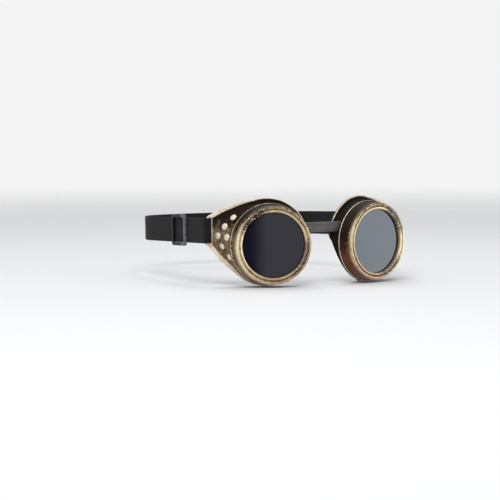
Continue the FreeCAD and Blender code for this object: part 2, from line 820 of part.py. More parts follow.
nodes = [eyecup, ring, lens, gasket, studs, left_loop, bridge, head]
for label, source in (
    ("right_eyecup", eyecup),
    ("right_lens_ring", ring),
    ("right_lens", lens),
    ("right_lens_gasket", gasket),
    ("right_wing_studs", studs),
    ("right_strap_loop", right_loop),
    ("strap_slider", slider),
    ("strap_sewn_end", sewn),
):
    nodes.append(mirrored(label, source))
doc.recompute()

for thing in doc.Objects:
    if "Invalid" in thing.State or "Error" in thing.State:
        raise RuntimeError(f"{thing.Label} is not up to date: {thing.State}")
os.makedirs("parts", exist_ok=True)
for node in nodes:
    if node.Shape.isNull() or not node.Shape.isValid():
        raise RuntimeError(f"{node.Label} has no valid shape")
    node.Shape.exportStep(f"parts/{node.Label}.step")
    box = node.Shape.BoundBox
    print(f"{node.Label}: {len(node.Shape.Solids)} solids, {node.Shape.Volume:.1f} mm3, "
          f"x {box.XMin:.1f}..{box.XMax:.1f} y {box.YMin:.1f}..{box.YMax:.1f} "
          f"z {box.ZMin:.1f}..{box.ZMax:.1f}")
print("bridge bead at", bead_x.value, bead_y.value)
print("slot bar at", bar_x.value, bar_y.value)
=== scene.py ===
import json
import math

import bmesh
import bpy
import numpy
from bpy.props import FloatProperty, FloatVectorProperty, IntProperty, PointerProperty
from mathutils import Matrix, Vector


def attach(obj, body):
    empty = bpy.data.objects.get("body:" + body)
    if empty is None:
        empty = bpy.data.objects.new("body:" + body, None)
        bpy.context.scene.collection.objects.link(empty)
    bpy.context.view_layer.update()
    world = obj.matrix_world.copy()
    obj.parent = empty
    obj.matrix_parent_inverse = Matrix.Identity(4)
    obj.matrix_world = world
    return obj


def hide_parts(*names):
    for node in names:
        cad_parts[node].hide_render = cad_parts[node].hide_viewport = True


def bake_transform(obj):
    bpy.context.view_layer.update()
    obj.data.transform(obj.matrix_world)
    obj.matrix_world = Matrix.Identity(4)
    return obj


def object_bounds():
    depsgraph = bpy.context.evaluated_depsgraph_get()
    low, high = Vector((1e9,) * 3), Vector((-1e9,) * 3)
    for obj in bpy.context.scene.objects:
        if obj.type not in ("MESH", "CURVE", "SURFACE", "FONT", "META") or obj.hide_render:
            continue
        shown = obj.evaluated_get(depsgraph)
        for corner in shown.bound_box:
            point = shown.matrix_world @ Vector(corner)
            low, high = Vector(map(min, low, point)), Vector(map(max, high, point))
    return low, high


bl_info = {
    "name": "Round-lens goggles",
    "version": (1, 0, 0),
    "blender": (4, 5, 0),
    "location": "View3D > Sidebar > Goggles",
    "description": "Dresses the goggles: gilded rings and cups, lenses, bridge, strap and slider",
    "category": "Add Mesh",
}

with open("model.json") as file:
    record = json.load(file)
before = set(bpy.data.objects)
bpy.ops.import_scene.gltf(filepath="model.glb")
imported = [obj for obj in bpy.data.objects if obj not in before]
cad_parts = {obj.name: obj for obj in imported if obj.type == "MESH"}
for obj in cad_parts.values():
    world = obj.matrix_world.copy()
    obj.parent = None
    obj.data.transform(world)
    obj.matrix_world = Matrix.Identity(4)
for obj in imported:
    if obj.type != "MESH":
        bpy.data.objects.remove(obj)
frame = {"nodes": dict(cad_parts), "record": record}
CAD_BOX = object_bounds()

MM = 0.001
SIDES = ("left", "right")
ROOT = "bridge_and_strap"
UP = Vector((0, 0, 1))
JOINTS = {joint["name"]: joint for joint in frame["record"]["behaviour"]["joints"]}
# How far each lens turns out to its side
TOE_OUT = math.asin(JOINTS["left_ring_turn"]["axis"][0])
# Vertices nearer than this are one
WELD = 0.001 * MM
# Edges that turn more than this stay sharp
CREASE = math.radians(35)


def length(name, millimetres, description):
    return FloatProperty(
        name=name,
        description=description,
        default=millimetres * MM,
        unit="LENGTH",
        precision=5,
    )


def angle(name, degrees, description):
    return FloatProperty(
        name=name, description=description, default=math.radians(degrees), unit="ROTATION"
    )


def portion(name, value, description):
    return FloatProperty(name=name, description=description, default=value, subtype="FACTOR")


def plan_place(name, millimetres, description):
    return FloatVectorProperty(
        name=name,
        description=description,
        default=[part * MM for part in millimetres],
        unit="LENGTH",
        precision=5,
        size=2,
    )


def colour(name, rgb, description):
    return FloatVectorProperty(
        name=name, description=description, default=rgb, subtype="COLOR", size=3, min=0, max=1
    )


class RingSizes(bpy.types.PropertyGroup):
    opening: length("Opening", 25.5, "Radius of the clear opening")
    inner_bead: length("Inner bead", 1.15, "Round of the bead next to the lens")
    groove: length("Groove", 27.8, "Radius of the groove between the two beads")
    groove_depth: length("Groove depth", 1.15, "From the front crest to the bottom of the groove")
    outer_bead: length("Outer bead", 1.35, "Round of the outer bead")
    shoulder: length("Shoulder", 30.5, "Radius where the front turns into the side")
    skirt: length("Skirt", 31.0, "Radius of the straight side")
    skirt_start: length("Skirt start", 3.6, "From the front crest to the straight side")
    skirt_end: length("Skirt end", 9.6, "From the front crest to the end of the straight side")
    tail: length("Tail", 32.1, "Radius of the bead at the back edge")
    tail_round: length("Tail round", 0.8, "Round of the bead at the back edge")
    depth: length("Depth", 13.0, "From the front crest to the back edge")
    bore: length("Bore", 28.4, "Radius of the threaded bore")
    lip_back: length("Lip back", 3.0, "From the front crest to the seat of the lens")
    lip_front: portion("Lip front", 0.45, "Depth of the lip's front, as a share of its back")
    shoulder_back: portion("Shoulder back", 1.3, "Shoulder's depth, in rounds of the outer bead")
    inner_crest: length("Inner crest", 26.3, "Radius of the inner bead's crest")
    outer_crest: length("Outer crest", 29.6, "Radius of the outer bead's crest")
    ease: length("Ease", 0.1, "How far the ends of the straight side ease in and out")
    ease_run: length("Ease run", 0.5, "Length of those ends")
    chamfer: length("Chamfer", 0.3, "Back edge of the bore")
    steps: IntProperty(name="Steps", description="Divisions round the ring", default=128)


class CupSizes(bpy.types.PropertyGroup):
    barrel: length("Barrel", 28.0, "Radius of the threaded barrel")
    bore: length("Bore", 25.6, "Inside radius of the barrel")
    barrel_front: length("Barrel front", 6.1, "From the ring's front to the barrel's front")
    shoulder: length("Shoulder", 30.4, "Radius of the wall just behind the ring")
    shoulder_depth: length("Shoulder depth", 13.3, "From the ring's front to the shoulder")
    wall: length("Wall", 2.0, "Thickness of the wall")
    foot: length("Foot", 34.2, "Radius of the round part of the wall's foot")
    foot_depth: length("Foot depth", 31.0, "From the ring's front to the plane of the foot")
    cavity_depth: length("Cavity depth", 35.0, "From the ring's front to the foot of the hollow")
    rise: length("Rise", 1.4, "Height of the foot's centre over the lens centre")
    tip: length("Wing tip", 42.1, "From the lens centre to the end of the wing's wall")
    tip_half: length("Wing tip half", 9.4, "Half the height of the wing's end")
    corner: length("Wing corner", 3.0, "Corners of the wing's end")
    upper_round: length("Upper edge", 72.0, "Round of the wing's upper edge")
    lower_round: length("Lower edge", 120.0, "Round of the wing's lower edge")
    lip: length("Lip", 34.6, "Radius of the round part of the rim's lip")
    lip_thick: length("Lip thickness", 1.8, "Thickness of the rim's lip")
    lip_upper: length("Lip upper tip", 46.4, "From the lens centre to the lip's upper corner")
    lip_lower: length("Lip lower tip", 47.6, "From the lens centre to the lip's lower corner")
    lip_half: length("Lip end half", 12.2, "Half the height of the lip's end")
    lip_corner: length("Lip corner", 2.6, "Corners of the lip's end")
    lip_round: length("Lip round", 0.7, "Rounded edges of the lip")
    rim_round: length("Rim round", 300.0, "Round of the rim, seen from above")
    rim_nose: plan_place("Rim at nose", (-40.0, 22.5), "Across and back to the rim's inner end")
    rim_temple: plan_place("Rim at temple", (55.0, 33.0), "Across and back to its outer end")
    fillet: length("Fillet", 0.5, "Round between the wall and the lip")
    soft: length("Soft edge", 0.4, "Soft edges of the barrel and of the hollow")
    slot_start: length("Slot start", 42.7, "From the lens centre to the strap slot")
    slot_width: length("Slot width", 2.0, "Width of the strap slot")
    slot_half: length("Slot half", 10.2, "Half the height of the strap slot")
    slot_front: length("Slot front", 10.0, "From the ring's front to the start of that cut")
    slot_back: length("Slot back", 50.0, "From the ring's front to the end of that cut")
    nose_reach: length("Nose slot", 20.0, "How far the cut for the bridge goes in")
    nose_gap: length("Nose gap", 0.1, "Room over and under the bridge's band")
    seat_gap: length("Seat gap", 0.3, "Room round the bridge's beads")
    relief: length("Nose relief", 60.0, "Round of the hollow for the nose")
    relief_in: length("Relief in", 60.0, "Lens centre in to the centre of that round")
    relief_back: length("Relief depth", 8.6, "From the ring's front to the front of the relief")
    relief_turn: angle("Relief turn", 40.0, "How far below level the hollow faces")
    relief_steps: IntProperty(name="Relief steps", description="Divisions round it", default=512)
    thread_pitch: length("Thread pitch", 3.0, "Pitch of the barrel's thread")
    thread_height: length("Thread height", 0.3, "How far the thread stands out")
    thread_sink: length("Thread sink", 0.1, "How far the thread goes into the barrel")
    thread_start: length("Thread start", 0.6, "From the barrel's front to the thread")
    thread_turns: FloatProperty(name="Thread turns", description="Turns of the thread", default=1.8)


class LensSizes(bpy.types.PropertyGroup):
    front: length("Front", 3.05, "From the ring's front to the front of the lens")
    back: length("Back", 5.05, "From the ring's front to the back of the lens")
    radius: length("Radius", 28.1, "Radius of the lens")
    edge: length("Edge", 0.3, "Ground edge of the lens")
    dome: length("Dome", 0.35, "How far the lens bulges")
    gasket_in: length("Gasket inside", 25.6, "Inside radius of the gasket")
    gasket_out: length("Gasket outside", 28.0, "Outside radius of the gasket")
    gasket_front: length("Gasket front", 5.1, "From the ring's front to the gasket's front")
    gasket_back: length("Gasket back", 6.1, "From the ring's front to the gasket's back")
    gasket_edge: length("Gasket edge", 0.25, "Soft edges of the gasket")
    steps: IntProperty(name="Steps", description="Divisions round the lens", default=96)


class StudSizes(bpy.types.PropertyGroup):
    radius: length("Radius", 2.8, "Radius of a stud")
    height: length("Height", 1.3, "How far a stud stands out")
    sink: length("Sink", 0.6, "How far a stud goes into the wall")
    edge: length("Edge", 0.3, "Soft edge of a stud")
    steps: IntProperty(name="Steps", description="Divisions round a stud", default=40)


class BridgeSizes(bpy.types.PropertyGroup):
    height: length("Height", 8.0, "Height of the band")
    thick: length("Thickness", 1.6, "Thickness of the band")
    edge: length("Edge", 0.5, "Rounded edges of the band")
    bead: length("Bead", 2.4, "Radius of the bead at each end")
    bead_height: length("Bead height", 6.0, "Height of the bead at each end")
    bead_edge: length("Bead edge", 0.5, "Rounded ends of the bead")
    bead_steps: IntProperty(name="Bead steps", description="Divisions round a bead", default=40)
    rib: length("Rib", 0.35, "How far the moulded ribs stand out")
    rib_height: length("Rib height", 0.9, "Height of a rib")
    rib_edge: length("Rib edge", 0.28, "Rounded edges of a rib")
    rib_share: portion("Rib share", 0.62, "Share of the band that the ribs take, both ways")
    slot_half: length("Slot half", 2.1, "Half the width of the slot in the cup")


class StrapSizes(bpy.types.PropertyGroup):
    rise: length("Rise", 10.6, "Height of the strap's middle over the lens centre")
    width: length("Width", 19.8, "Width of the webbing")
    thick: length("Thickness", 1.2, "Thickness of the webbing")
    selvedge: length("Selvedge", 0.45, "Rounded edge of the webbing")
    turn: length("Turn", 2.5, "Middle of the webbing's turn round the slot's bar")
    forward: length("Forward", 1.0, "Turn's centre in front of the middle of the bar")
    loop_length: length("Loop", 22.0, "From the slot's bar to the end of the turned piece")
    head_centre: length("Head centre", 112.0, "From the face to the centre of the round")
    left_bend: length("Left bend", 3.6, "From the bar to where the left end slants to the strap")
    left_join: length("Left join", 14.0, "From the bar to where the left end meets the strap")
    left_end: length("Left end", 38.0, "From the bar to the left sewn end")
    return_end: length("Return", 36.2, "From the bar to the sewn end at the slider")
    layer_gap: length("Layer gap", 0.05, "Between the strap and its left end")
    wrap: length("Wrap", 1.4, "Middle of the webbing's turn round the slider's bar")
    slant: length("Slant", 3.0, "From the slider's bar to where both layers meet")
    wrap_end: length("Wrap end", 0.1, "How far the wrapped end stops short")
    stitch: length("Stitch", 2.2, "From one stitch to the next")
    stitch_share: portion("Stitch share", 0.72, "Share of that length that a stitch takes")
    stitch_thick: length("Stitch thickness", 0.4, "Thickness of a stitch")
    stitch_width: length("Stitch width", 0.44, "Width of a stitch")
    stitch_edge: length("Stitch edge", 0.15, "Rounded edges of a stitch")
    stitch_inset: length("Stitch inset", 2.0, "From the webbing's edge to the stitches")
    left_seam_start: length("Left seam start", 3.0, "From the turned piece to its sewn box")
    left_seam_end: length("Left seam end", 1.5, "From that box to the left sewn end")
    wrap_seam_start: length("Wrap seam start", 0.5, "From where both layers meet to their box")
    wrap_seam_end: length("Wrap seam end", 1.0, "From that box to the sewn end at the slider")
    lean: angle("Lean", 4.0, "Turn of the strap's sides towards each other")
    dip: angle("Dip", 2.2, "Fall of the strap from the slots to the back")


class SliderSizes(bpy.types.PropertyGroup):
    start: length("Start", 33.2, "From the slot's bar to the slider")
    reach: length("Length", 27.0, "Length along the strap")
    height: length("Height", 25.0, "Height across the strap")
    thick: length("Thickness", 1.8, "Thickness of the frame")
    bar: length("Bar", 3.0, "Width of the bars")
    corner: length("Corner", 2.0, "Rounded corners")
    edge: length("Edge", 0.35, "Rounded edges")
    middle_thick: length("Middle bar", 1.3, "Thickness of the middle bar")
    opening_corner: length("Opening corner", 0.8, "Rounded corners of the opening")
    gap: length("Gap", 0.3, "Room between the strap and the frame")
    bar_gap: length("Bar gap", 0.15, "Room between the webbing and the middle bar")


class FinishColours(bpy.types.PropertyGroup):
    gold: colour("Gold", (0.47, 0.36, 0.175), "Gilding on the beads")
    # Pale gold also carries painted light on the rings' temple side and a painted highlight on
    # their back edge
    pale_gold: colour("Pale gold", (0.88, 0.75, 0.49), "Rubbed gilding on the crests")
    copper: colour("Copper", (0.46, 0.30, 0.18), "Redder gilding low on the rings")
    # Umber also stands in for painted shade where the gilding and bronze thin out towards the top
    umber: colour("Umber", (0.014, 0.008, 0.005), "Dark ground under the gilding")
    rust: colour("Rust", (0.12, 0.038, 0.02), "Red-brown ground low on the rings")
    bronze: colour("Bronze", (0.25, 0.178, 0.112), "Brushed bronze on the wings")
    # The lip colour also paints highlights: along each strap slot's edge, and on part of the rings'
    # back-edge line
    lip: colour("Lip", (0.88, 0.74, 0.60), "Rubbed lip of the cups")
    stud: colour("Stud", (0.78, 0.67, 0.54), "Studs")
    inside: colour("Inside", (0.028, 0.024, 0.02), "Inside of the cups")
    # The lens finish darkens this tint towards the rim, as painted shade
    lens: colour("Lens", (0.0065, 0.0055, 0.0165), "Tint of the lenses")
    rubber: colour("Rubber", (0.125, 0.121, 0.121), "Nose bridge")
    gasket: colour("Gasket", (0.018, 0.018, 0.018), "Gaskets")
    webbing: colour("Webbing", (0.007, 0.0065, 0.0075), "Elastic webbing")
    thread: colour("Thread", (0.05, 0.05, 0.056), "Sewing thread")
    # The slider's finish darkens this colour to near-black behind the front bar, as a painted
    # shadow
    slider: colour("Slider", (0.115, 0.11, 0.122), "Slider")
    floor: colour("Floor", (0.88, 0.88, 0.88), "Floor")


class StageSettings(bpy.types.PropertyGroup):
    azimuth: angle("Azimuth", -31.0, "Turn of the camera round the goggles")
    elevation: angle("Elevation", 4.0, "Height of the camera over the horizon")
    distance: length("Distance", 1500.0, "From the camera to the middle of the lenses")
    focal_px: FloatProperty(
        name="Focal length", description="Focal length in pixels of the picture", default=1911.0
    )
    aim_px: FloatVectorProperty(
        name="Aim",
        description="Pixel where the middle of the lenses stands",
        default=(327.2, 243.2),
        size=2,
    )
    picture_px: FloatProperty(name="Picture", description="Side of the picture", default=500.0)
    front: length("Front", -28.0, "Place of the middle of the lenses, from the face")
    floor_radius: length("Floor", 6000.0, "Radius of the floor")
    floor_near: length("Floor near", 500.0, "From the middle to where the floor starts to fade")
    floor_far: length("Floor far", 2000.0, "From the middle to where the floor is gone")
    ambient: FloatProperty(name="Ambient", description="Strength of the soft light", default=0.55)
    ambient_tint: colour("Ambient tint", (0.80, 0.82, 0.86), "Soft light from all round")
    backdrop: colour("Backdrop", (0.90, 0.90, 0.90), "Backdrop")


GROUPS = {
    "goggle_ring": RingSizes,
    "goggle_cup": CupSizes,
    "goggle_lens": LensSizes,
    "goggle_stud": StudSizes,
    "goggle_bridge": BridgeSizes,
    "goggle_strap": StrapSizes,
    "goggle_slider": SliderSizes,
    "goggle_colours": FinishColours,
    "goggle_stage": StageSettings,
}


# Places, read from the frame


def sign_of(side):
    return 1 if side == "left" else -1


def cup_matrix(side):
    """From a cup's own frame, X to the temple, Y back from the ring's front, Z up."""
    joint = JOINTS[f"{side}_ring_turn"]
    back = -Vector(joint["axis"]).normalized()
    out = back.cross(UP) * sign_of(side)
    turn = Matrix((out, back, UP)).transposed().to_4x4()
    return Matrix.Translation(joint["pos_m"]) @ turn


def rim_centre(cup):
    """Centre of the rim's curve, an arc between two places off the ends of the lip."""
    nose, temple = Vector(cup.rim_nose), Vector(cup.rim_temple)
    chord = temple - nose
    across = Vector((-chord.y, chord.x)).normalized()
    return (nose + temple) / 2 + across * math.sqrt(cup.rim_round**2 - chord.length_squared / 4)


def rim_depth(cup, out):
    """Depth of the rim's curve at a place across the cup."""
    centre = rim_centre(cup)
    return centre.y - math.sqrt(cup.rim_round**2 - (out - centre.x) ** 2)


def bar_place(cup, strap):
    """Middle of the left slot's bar in plan."""
    bar_out = (cup.slot_start + cup.slot_width + cup.lip_lower) / 2
    bar_back = rim_depth(cup, bar_out) - cup.lip_thick / 2 - strap.forward
    return (cup_matrix("left") @ Vector((bar_out, bar_back, 0))).xy


def strap_plane(cup, strap):
    """From the strap's plan to its place: it dips from the slots to the back."""
    bar = bar_place(cup, strap)
    dip = Matrix.Rotation(-strap.dip, 4, "X")
    return Matrix.Translation((0, bar.y, strap.rise)) @ dip @ Matrix.Translation((0, -bar.y, 0))


def strap_plan(side, cup, strap):
    """In plan, from the strap's own frame at the slot's bar, X out from the head, Y back."""
    bar = bar_place(cup, strap)
    out = Vector((math.cos(strap.lean) * sign_of(side), math.sin(strap.lean), 0))
    back = Vector((-math.sin(strap.lean) * sign_of(side), math.cos(strap.lean), 0))
    turn = Matrix((out, back, UP)).transposed().to_4x4()
    return Matrix.Translation((bar.x * sign_of(side), bar.y, 0)) @ turn


def strap_matrix(side, cup, strap):
    return strap_plane(cup, strap) @ strap_plan(side, cup, strap)


# Outlines


def polar(radius, bearing):
    return Vector((math.cos(bearing), math.sin(bearing))) * radius


def arc(first, last, radius, count, large=False):
    """Points after first up to last on an arc that turns to the left."""
    first, last = Vector(first), Vector(last)
    chord = last - first
    across = Vector((-chord.y, chord.x)).normalized()
    reach = math.sqrt(max(radius**2 - chord.length_squared / 4, 0))
    centre = (first + last) / 2 + across * (-reach if large else reach)
    start = math.atan2(first.y - centre.y, first.x - centre.x)
    end = math.atan2(last.y - centre.y, last.x - centre.x)
    if end <= start:
        end += 2 * math.pi
    turn = end - start
    return [centre + polar(radius, start + turn * n / count) for n in range(1, count + 1)]


# Where the round of a cup's outline ends, and how many points each of its arcs has
UPPER_BEARING = math.radians(74)
LOWER_BEARING = math.radians(-58)
ROUND_COUNT, LOWER_COUNT, CORNER_COUNT, END_COUNT, UPPER_COUNT = 72, 28, 6, 12, 28
WING_COUNTS = (ROUND_COUNT, LOWER_COUNT, CORNER_COUNT, END_COUNT, CORNER_COUNT, UPPER_COUNT)
# A wing's corners are a little flatter than quarter rounds
CORNER_ROUND = 1.3


def wing_corners(cup, radius, upper, lower, half, corner, rise):
    """Where the arcs of a wing's outline meet, from its upper edge round by the nose."""
    top = rise + half
    low = rise - half
    lift = Vector((0, cup.rise))
    return [
        polar(radius, UPPER_BEARING) + lift,
        polar(radius, LOWER_BEARING) + lift,
        Vector((lower - corner, low)),
        Vector((lower, low + corner)),
        Vector((upper, top - corner)),
        Vector((upper - corner, top)),
    ]


def wing_outline(cup, radius, corners, corner):
    """Outline of the cup from the front: a round with a wing drawn out to the temple."""
    corner_round = corner * CORNER_ROUND
    rounds = (radius, cup.lower_round, corner_round, None, corner_round, cup.upper_round)
    found = []
    for n, (bend, count) in enumerate(zip(rounds, WING_COUNTS)):
        first = corners[n]
        last = corners[(n + 1) % len(corners)]
        if bend is None:
            found += [first.lerp(last, k / count) for k in range(1, count + 1)]
        else:
            found += arc(first, last, bend, count, large=n == 0)
    return found


def round_outline(radius, corners):
    """A circle divided at the bearings of a wing's corners."""
    bearings = [math.atan2(spot.y, spot.x) for spot in corners]
    found = []
    for n, count in enumerate(WING_COUNTS):
        first = bearings[n]
        last = bearings[(n + 1) % len(bearings)]
        if last <= first:
            last += 2 * math.pi
        found += [polar(radius, first + (last - first) * k / count) for k in range(1, count + 1)]
    return found


# Modelling


def chain(points, closed=True):
    """A bmesh of points joined in order."""
    bm = bmesh.new()
    spots = [bm.verts.new(point) for point in points]
    for n in range(len(spots) - (0 if closed else 1)):
        bm.edges.new((spots[n], spots[(n + 1) % len(spots)]))
    return bm


def move(bm, matrix):
    bmesh.ops.transform(bm, matrix=matrix, verts=bm.verts[:])


def extrude_loop(bm, edges):
    """Extrudes a loop of edges, and gives the new loop's vertices and edges."""
    made = bmesh.ops.extrude_edge_only(bm, edges=edges)["geom"]
    spots = [part for part in made if isinstance(part, bmesh.types.BMVert)]
    fresh = set(spots)
    edges = [part for part in made if isinstance(part, bmesh.types.BMEdge)]
    return spots, [edge for edge in edges if fresh.issuperset(edge.verts)]


def long_edges(bm, least):
    """Edges that reach further than that along X."""
    return [e for e in bm.edges if abs((e.verts[0].co - e.verts[1].co).x) > least]


def spin_profile(profile, steps, closed=True):
    """Turns a profile of (radius, depth) about the Y axis."""
    bm = chain([Vector((radius, depth, 0)) for radius, depth in profile], closed)
    bmesh.ops.spin(
        bm,
        geom=bm.verts[:] + bm.edges[:],
        cent=(0, 0, 0),
        axis=(0, 1, 0),
        angle=2 * math.pi,
        steps=steps,
        use_merge=True,
    )
    bmesh.ops.remove_doubles(bm, verts=bm.verts[:], dist=WELD)
    bmesh.ops.recalc_face_normals(bm, faces=bm.faces[:])
    return bm


def loft_loops(loops):
    """A closed shell through loops of equally many points, each extruded from the one before."""
    bm = chain(loops[0])
    first = edges = bm.edges[:]
    for loop in loops[1:]:
        spots, edges = extrude_loop(bm, edges)
        for spot, point in zip(spots, loop):
            spot.co = point
    bmesh.ops.bridge_loops(bm, edges=first + edges)
    return bm


def sweep(outline, stations):
    """A bar whose outline goes through the stations, capped at both ends. Each vertex keeps how
    far along and across the outline it lies."""
    bm = chain([Vector((x, y, 0)) for x, y in outline])
    layer = bm.verts.layers.float_vector.new("weave")
    spots, edges = bm.verts[:], bm.edges[:]
    bm.faces.new(spots)
    for n, (station, along) in enumerate(stations):
        if n:
            spots, edges = extrude_loop(bm, edges)
        for spot, (x, y) in zip(spots, outline):
            spot.co = station @ Vector((x, y, 0))
            spot[layer] = (along, y, x)
    bm.faces.new(spots[::-1])
    bmesh.ops.recalc_face_normals(bm, faces=bm.faces[:])
    return bm


def box(low, high):
    bm = bmesh.new()
    bmesh.ops.create_cube(bm, size=1)
    low, high = Vector(low), Vector(high)
    move(bm, Matrix.Translation((low + high) / 2) @ Matrix.Diagonal((*(high - low), 1)))
    return bm


def rod(radius, depth, segments):
    """An upright cylinder about the origin."""
    bm = bmesh.new()
    bmesh.ops.create_cone(
        bm, cap_ends=True, segments=segments, radius1=radius, radius2=radius, depth=depth
    )
    return bm


def round_edges(bm, edges, offset, segments=2):
    bmesh.ops.bevel(
        bm,
        geom=edges,
        offset=offset,
        offset_type="OFFSET",
        affect="EDGES",
        segments=segments,
        profile=0.5,
        material=-1,
        clamp_overlap=True,
    )


def loose_object(name, bm):
    mesh = bpy.data.meshes.new(name)
    bm.to_mesh(mesh)
    bm.free()
    made = bpy.data.objects.new(name, mesh)
    bpy.context.scene.collection.objects.link(made)
    return made


def cut(bm, tools):
    """The shell less the tools."""
    shell = loose_object("shell", bm)
    things = [shell]
    for tool in tools:
        thing = loose_object("tool", tool)
        things.append(thing)
        step = shell.modifiers.new("cut", "BOOLEAN")
        step.operation = "DIFFERENCE"
        step.solver = "EXACT"
        step.object = thing
    graph = bpy.context.evaluated_depsgraph_get()
    mesh = bpy.data.meshes.new_from_object(shell.evaluated_get(graph))
    found = bmesh.new()
    found.from_mesh(mesh)
    bpy.data.meshes.remove(mesh)
    for thing in things:
        old = thing.data
        bpy.data.objects.remove(thing)
        bpy.data.meshes.remove(old)
    return found


def join(target, other):
    mesh = bpy.data.meshes.new("joined")
    other.to_mesh(mesh)
    other.free()
    target.from_mesh(mesh)
    bpy.data.meshes.remove(mesh)


def place_layer(bm):
    """Keeps each vertex's place in the piece's own frame, for its finish."""
    layer = bm.verts.layers.float_vector.new("place")
    for spot in bm.verts:
        spot[layer] = spot.co


def edge_layer(bm, outline):
    """Keeps how far each vertex lies from an outline, seen from the front."""
    layer = bm.verts.layers.float_vector.new("edge")
    spots = numpy.array([(v.co.x, v.co.z) for v in bm.verts])
    first = numpy.array([(p.x, p.z) for p in outline])
    way = numpy.roll(first, -1, axis=0) - first
    off = spots[:, None, :] - first[None, :, :]
    share = numpy.clip((off * way).sum(2) / (way * way).sum(1), 0, 1)
    near = numpy.linalg.norm(off - share[:, :, None] * way, axis=2).min(axis=1)
    for spot, distance in zip(bm.verts, near):
        spot[layer] = (distance, 0, 0)


def make_piece(name, bm, matrix, finishes, body, nodes=()):
    """Puts a modelled piece in the scene and on its body."""
    move(bm, matrix)
    if matrix.determinant() < 0:
        bmesh.ops.reverse_faces(bm, faces=bm.faces[:])
    for face in bm.faces:
        face.smooth = True
    for edge in bm.edges:
        edge.smooth = len(edge.link_faces) == 2 and edge.calc_face_angle(0) < CREASE
    piece = loose_object(name, bm)
    for finish in finishes:
        piece.data.materials.append(finish)
    if body:
        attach(piece, body)
    if nodes:
        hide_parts(*nodes)
    return piece


def cup_piece(side, name, bm, finishes, body, slot, *nodes):
    """A piece in a cup's own frame. Its name, body and nodes are given without their side."""
    place_layer(bm)
    body, nodes = f"{side}_{body}", [f"{side}_{node}" for node in nodes]
    make_piece(f"{side}_{name}", bm, cup_matrix(side), finishes, body, nodes)


# Finishes


class Wire:
    """A socket's value. Arithmetic on it adds Math nodes."""

    def __init__(self, nodes, socket):
        self.nodes = nodes
        self.socket = socket

    def math(self, operation, *others, flip=False):
        terms = (*others, self) if flip else (self, *others)
        return self.nodes.add("ShaderNodeMath", {"operation": operation}, dict(enumerate(terms)))

    def __add__(self, other):
        return self.math("ADD", other)

    def __sub__(self, other):
        return self.math("SUBTRACT", other)

    def __rsub__(self, other):
        return self.math("SUBTRACT", other, flip=True)

    def __mul__(self, other):
        return self.math("MULTIPLY", other)

    def __truediv__(self, other):
        return self.math("DIVIDE", other)

    def __pow__(self, other):
        return self.math("POWER", other)

    def __abs__(self):
        return self.math("ABSOLUTE")

    __radd__, __rmul__ = __add__, __mul__

    def most(self, other):
        return self.math("MAXIMUM", other)

    def step(self, low, high, start=0.0, end=1.0):
        """Eases from start to end as the value goes from low to high."""
        return self.nodes.add(
            "ShaderNodeMapRange",
            {"interpolation_type": "SMOOTHSTEP"},
            {0: self, 1: low, 2: high, 3: start, 4: end},
        )


class Nodes:
    """The nodes of a material or a world."""

    def __init__(self, owner, output):
        owner.use_nodes = True
        self.tree = owner.node_tree
        self.tree.nodes.clear()
        self.output = self.tree.nodes.new(output)

    def put(self, socket, value):
        if isinstance(value, Wire):
            self.tree.links.new(value.socket, socket)
        else:
            socket.default_value = (*value, 1) if socket.type == "RGBA" else value

    def add(self, kind, settings=None, inputs=None, output=0):
        """Adds a node: its settings first, then its sockets."""
        node = self.tree.nodes.new(kind)
        for key, value in (settings or {}).items():
            setattr(node, key, value)
        for key, value in (inputs or {}).items():
            self.put(node.inputs[key], value)
        return Wire(self, node.outputs[output])

    def show(self, shader):
        self.put(self.output.inputs["Surface"], shader)

    def split(self, vector):
        first = self.add("ShaderNodeSeparateXYZ", None, {0: vector})
        return [Wire(self, out) for out in first.socket.node.outputs]

    def join(self, x, y, z):
        return self.add("ShaderNodeCombineXYZ", None, {0: x, 1: y, 2: z})


class Finish(Nodes):
    """One material and its nodes."""

    def __init__(self, name):
        self.material = bpy.data.materials.new(name)
        super().__init__(self.material, "ShaderNodeOutputMaterial")

    def surface(self, **sockets):
        """Shows one shader, with a value or a link for each socket that is named."""
        inputs = {key.replace("_", " "): value for key, value in sockets.items()}
        self.shader = self.add("ShaderNodeBsdfPrincipled", None, inputs)
        self.show(self.shader)
        return self.material

    def attribute(self, name):
        return self.add("ShaderNodeAttribute", {"attribute_name": name}, output="Vector")

    def noise(self, vector, scale, detail=3.0, roughness=0.55, distortion=0.0):
        inputs = {"Vector": vector, "Scale": scale, "Detail": detail}
        inputs.update({"Roughness": roughness, "Distortion": distortion})
        return self.add("ShaderNodeTexNoise", None, inputs)

    def blend(self, mask, first, second):
        """Mixes two colours by a mask."""
        settings = {"data_type": "RGBA", "clamp_factor": True}
        return self.add("ShaderNodeMix", settings, {0: mask, 6: first, 7: second}, output=2)

    def bump(self, height, distance, strength):
        inputs = {"Strength": strength, "Distance": distance, "Height": height}
        return self.add("ShaderNodeBump", None, inputs)


def shade(tint, share):
    """A colour made darker or lighter."""
    return tuple(part * share for part in tint)


# Where each ring's front is worn: degrees from the temple upward, half the arc, how far
WORN_ARCS = {
    "right": ((50, 38, 1.0), (-155, 46, 0.8)),
    "left": ((42, 38, 0.8), (-58, 38, 0.7)),
}


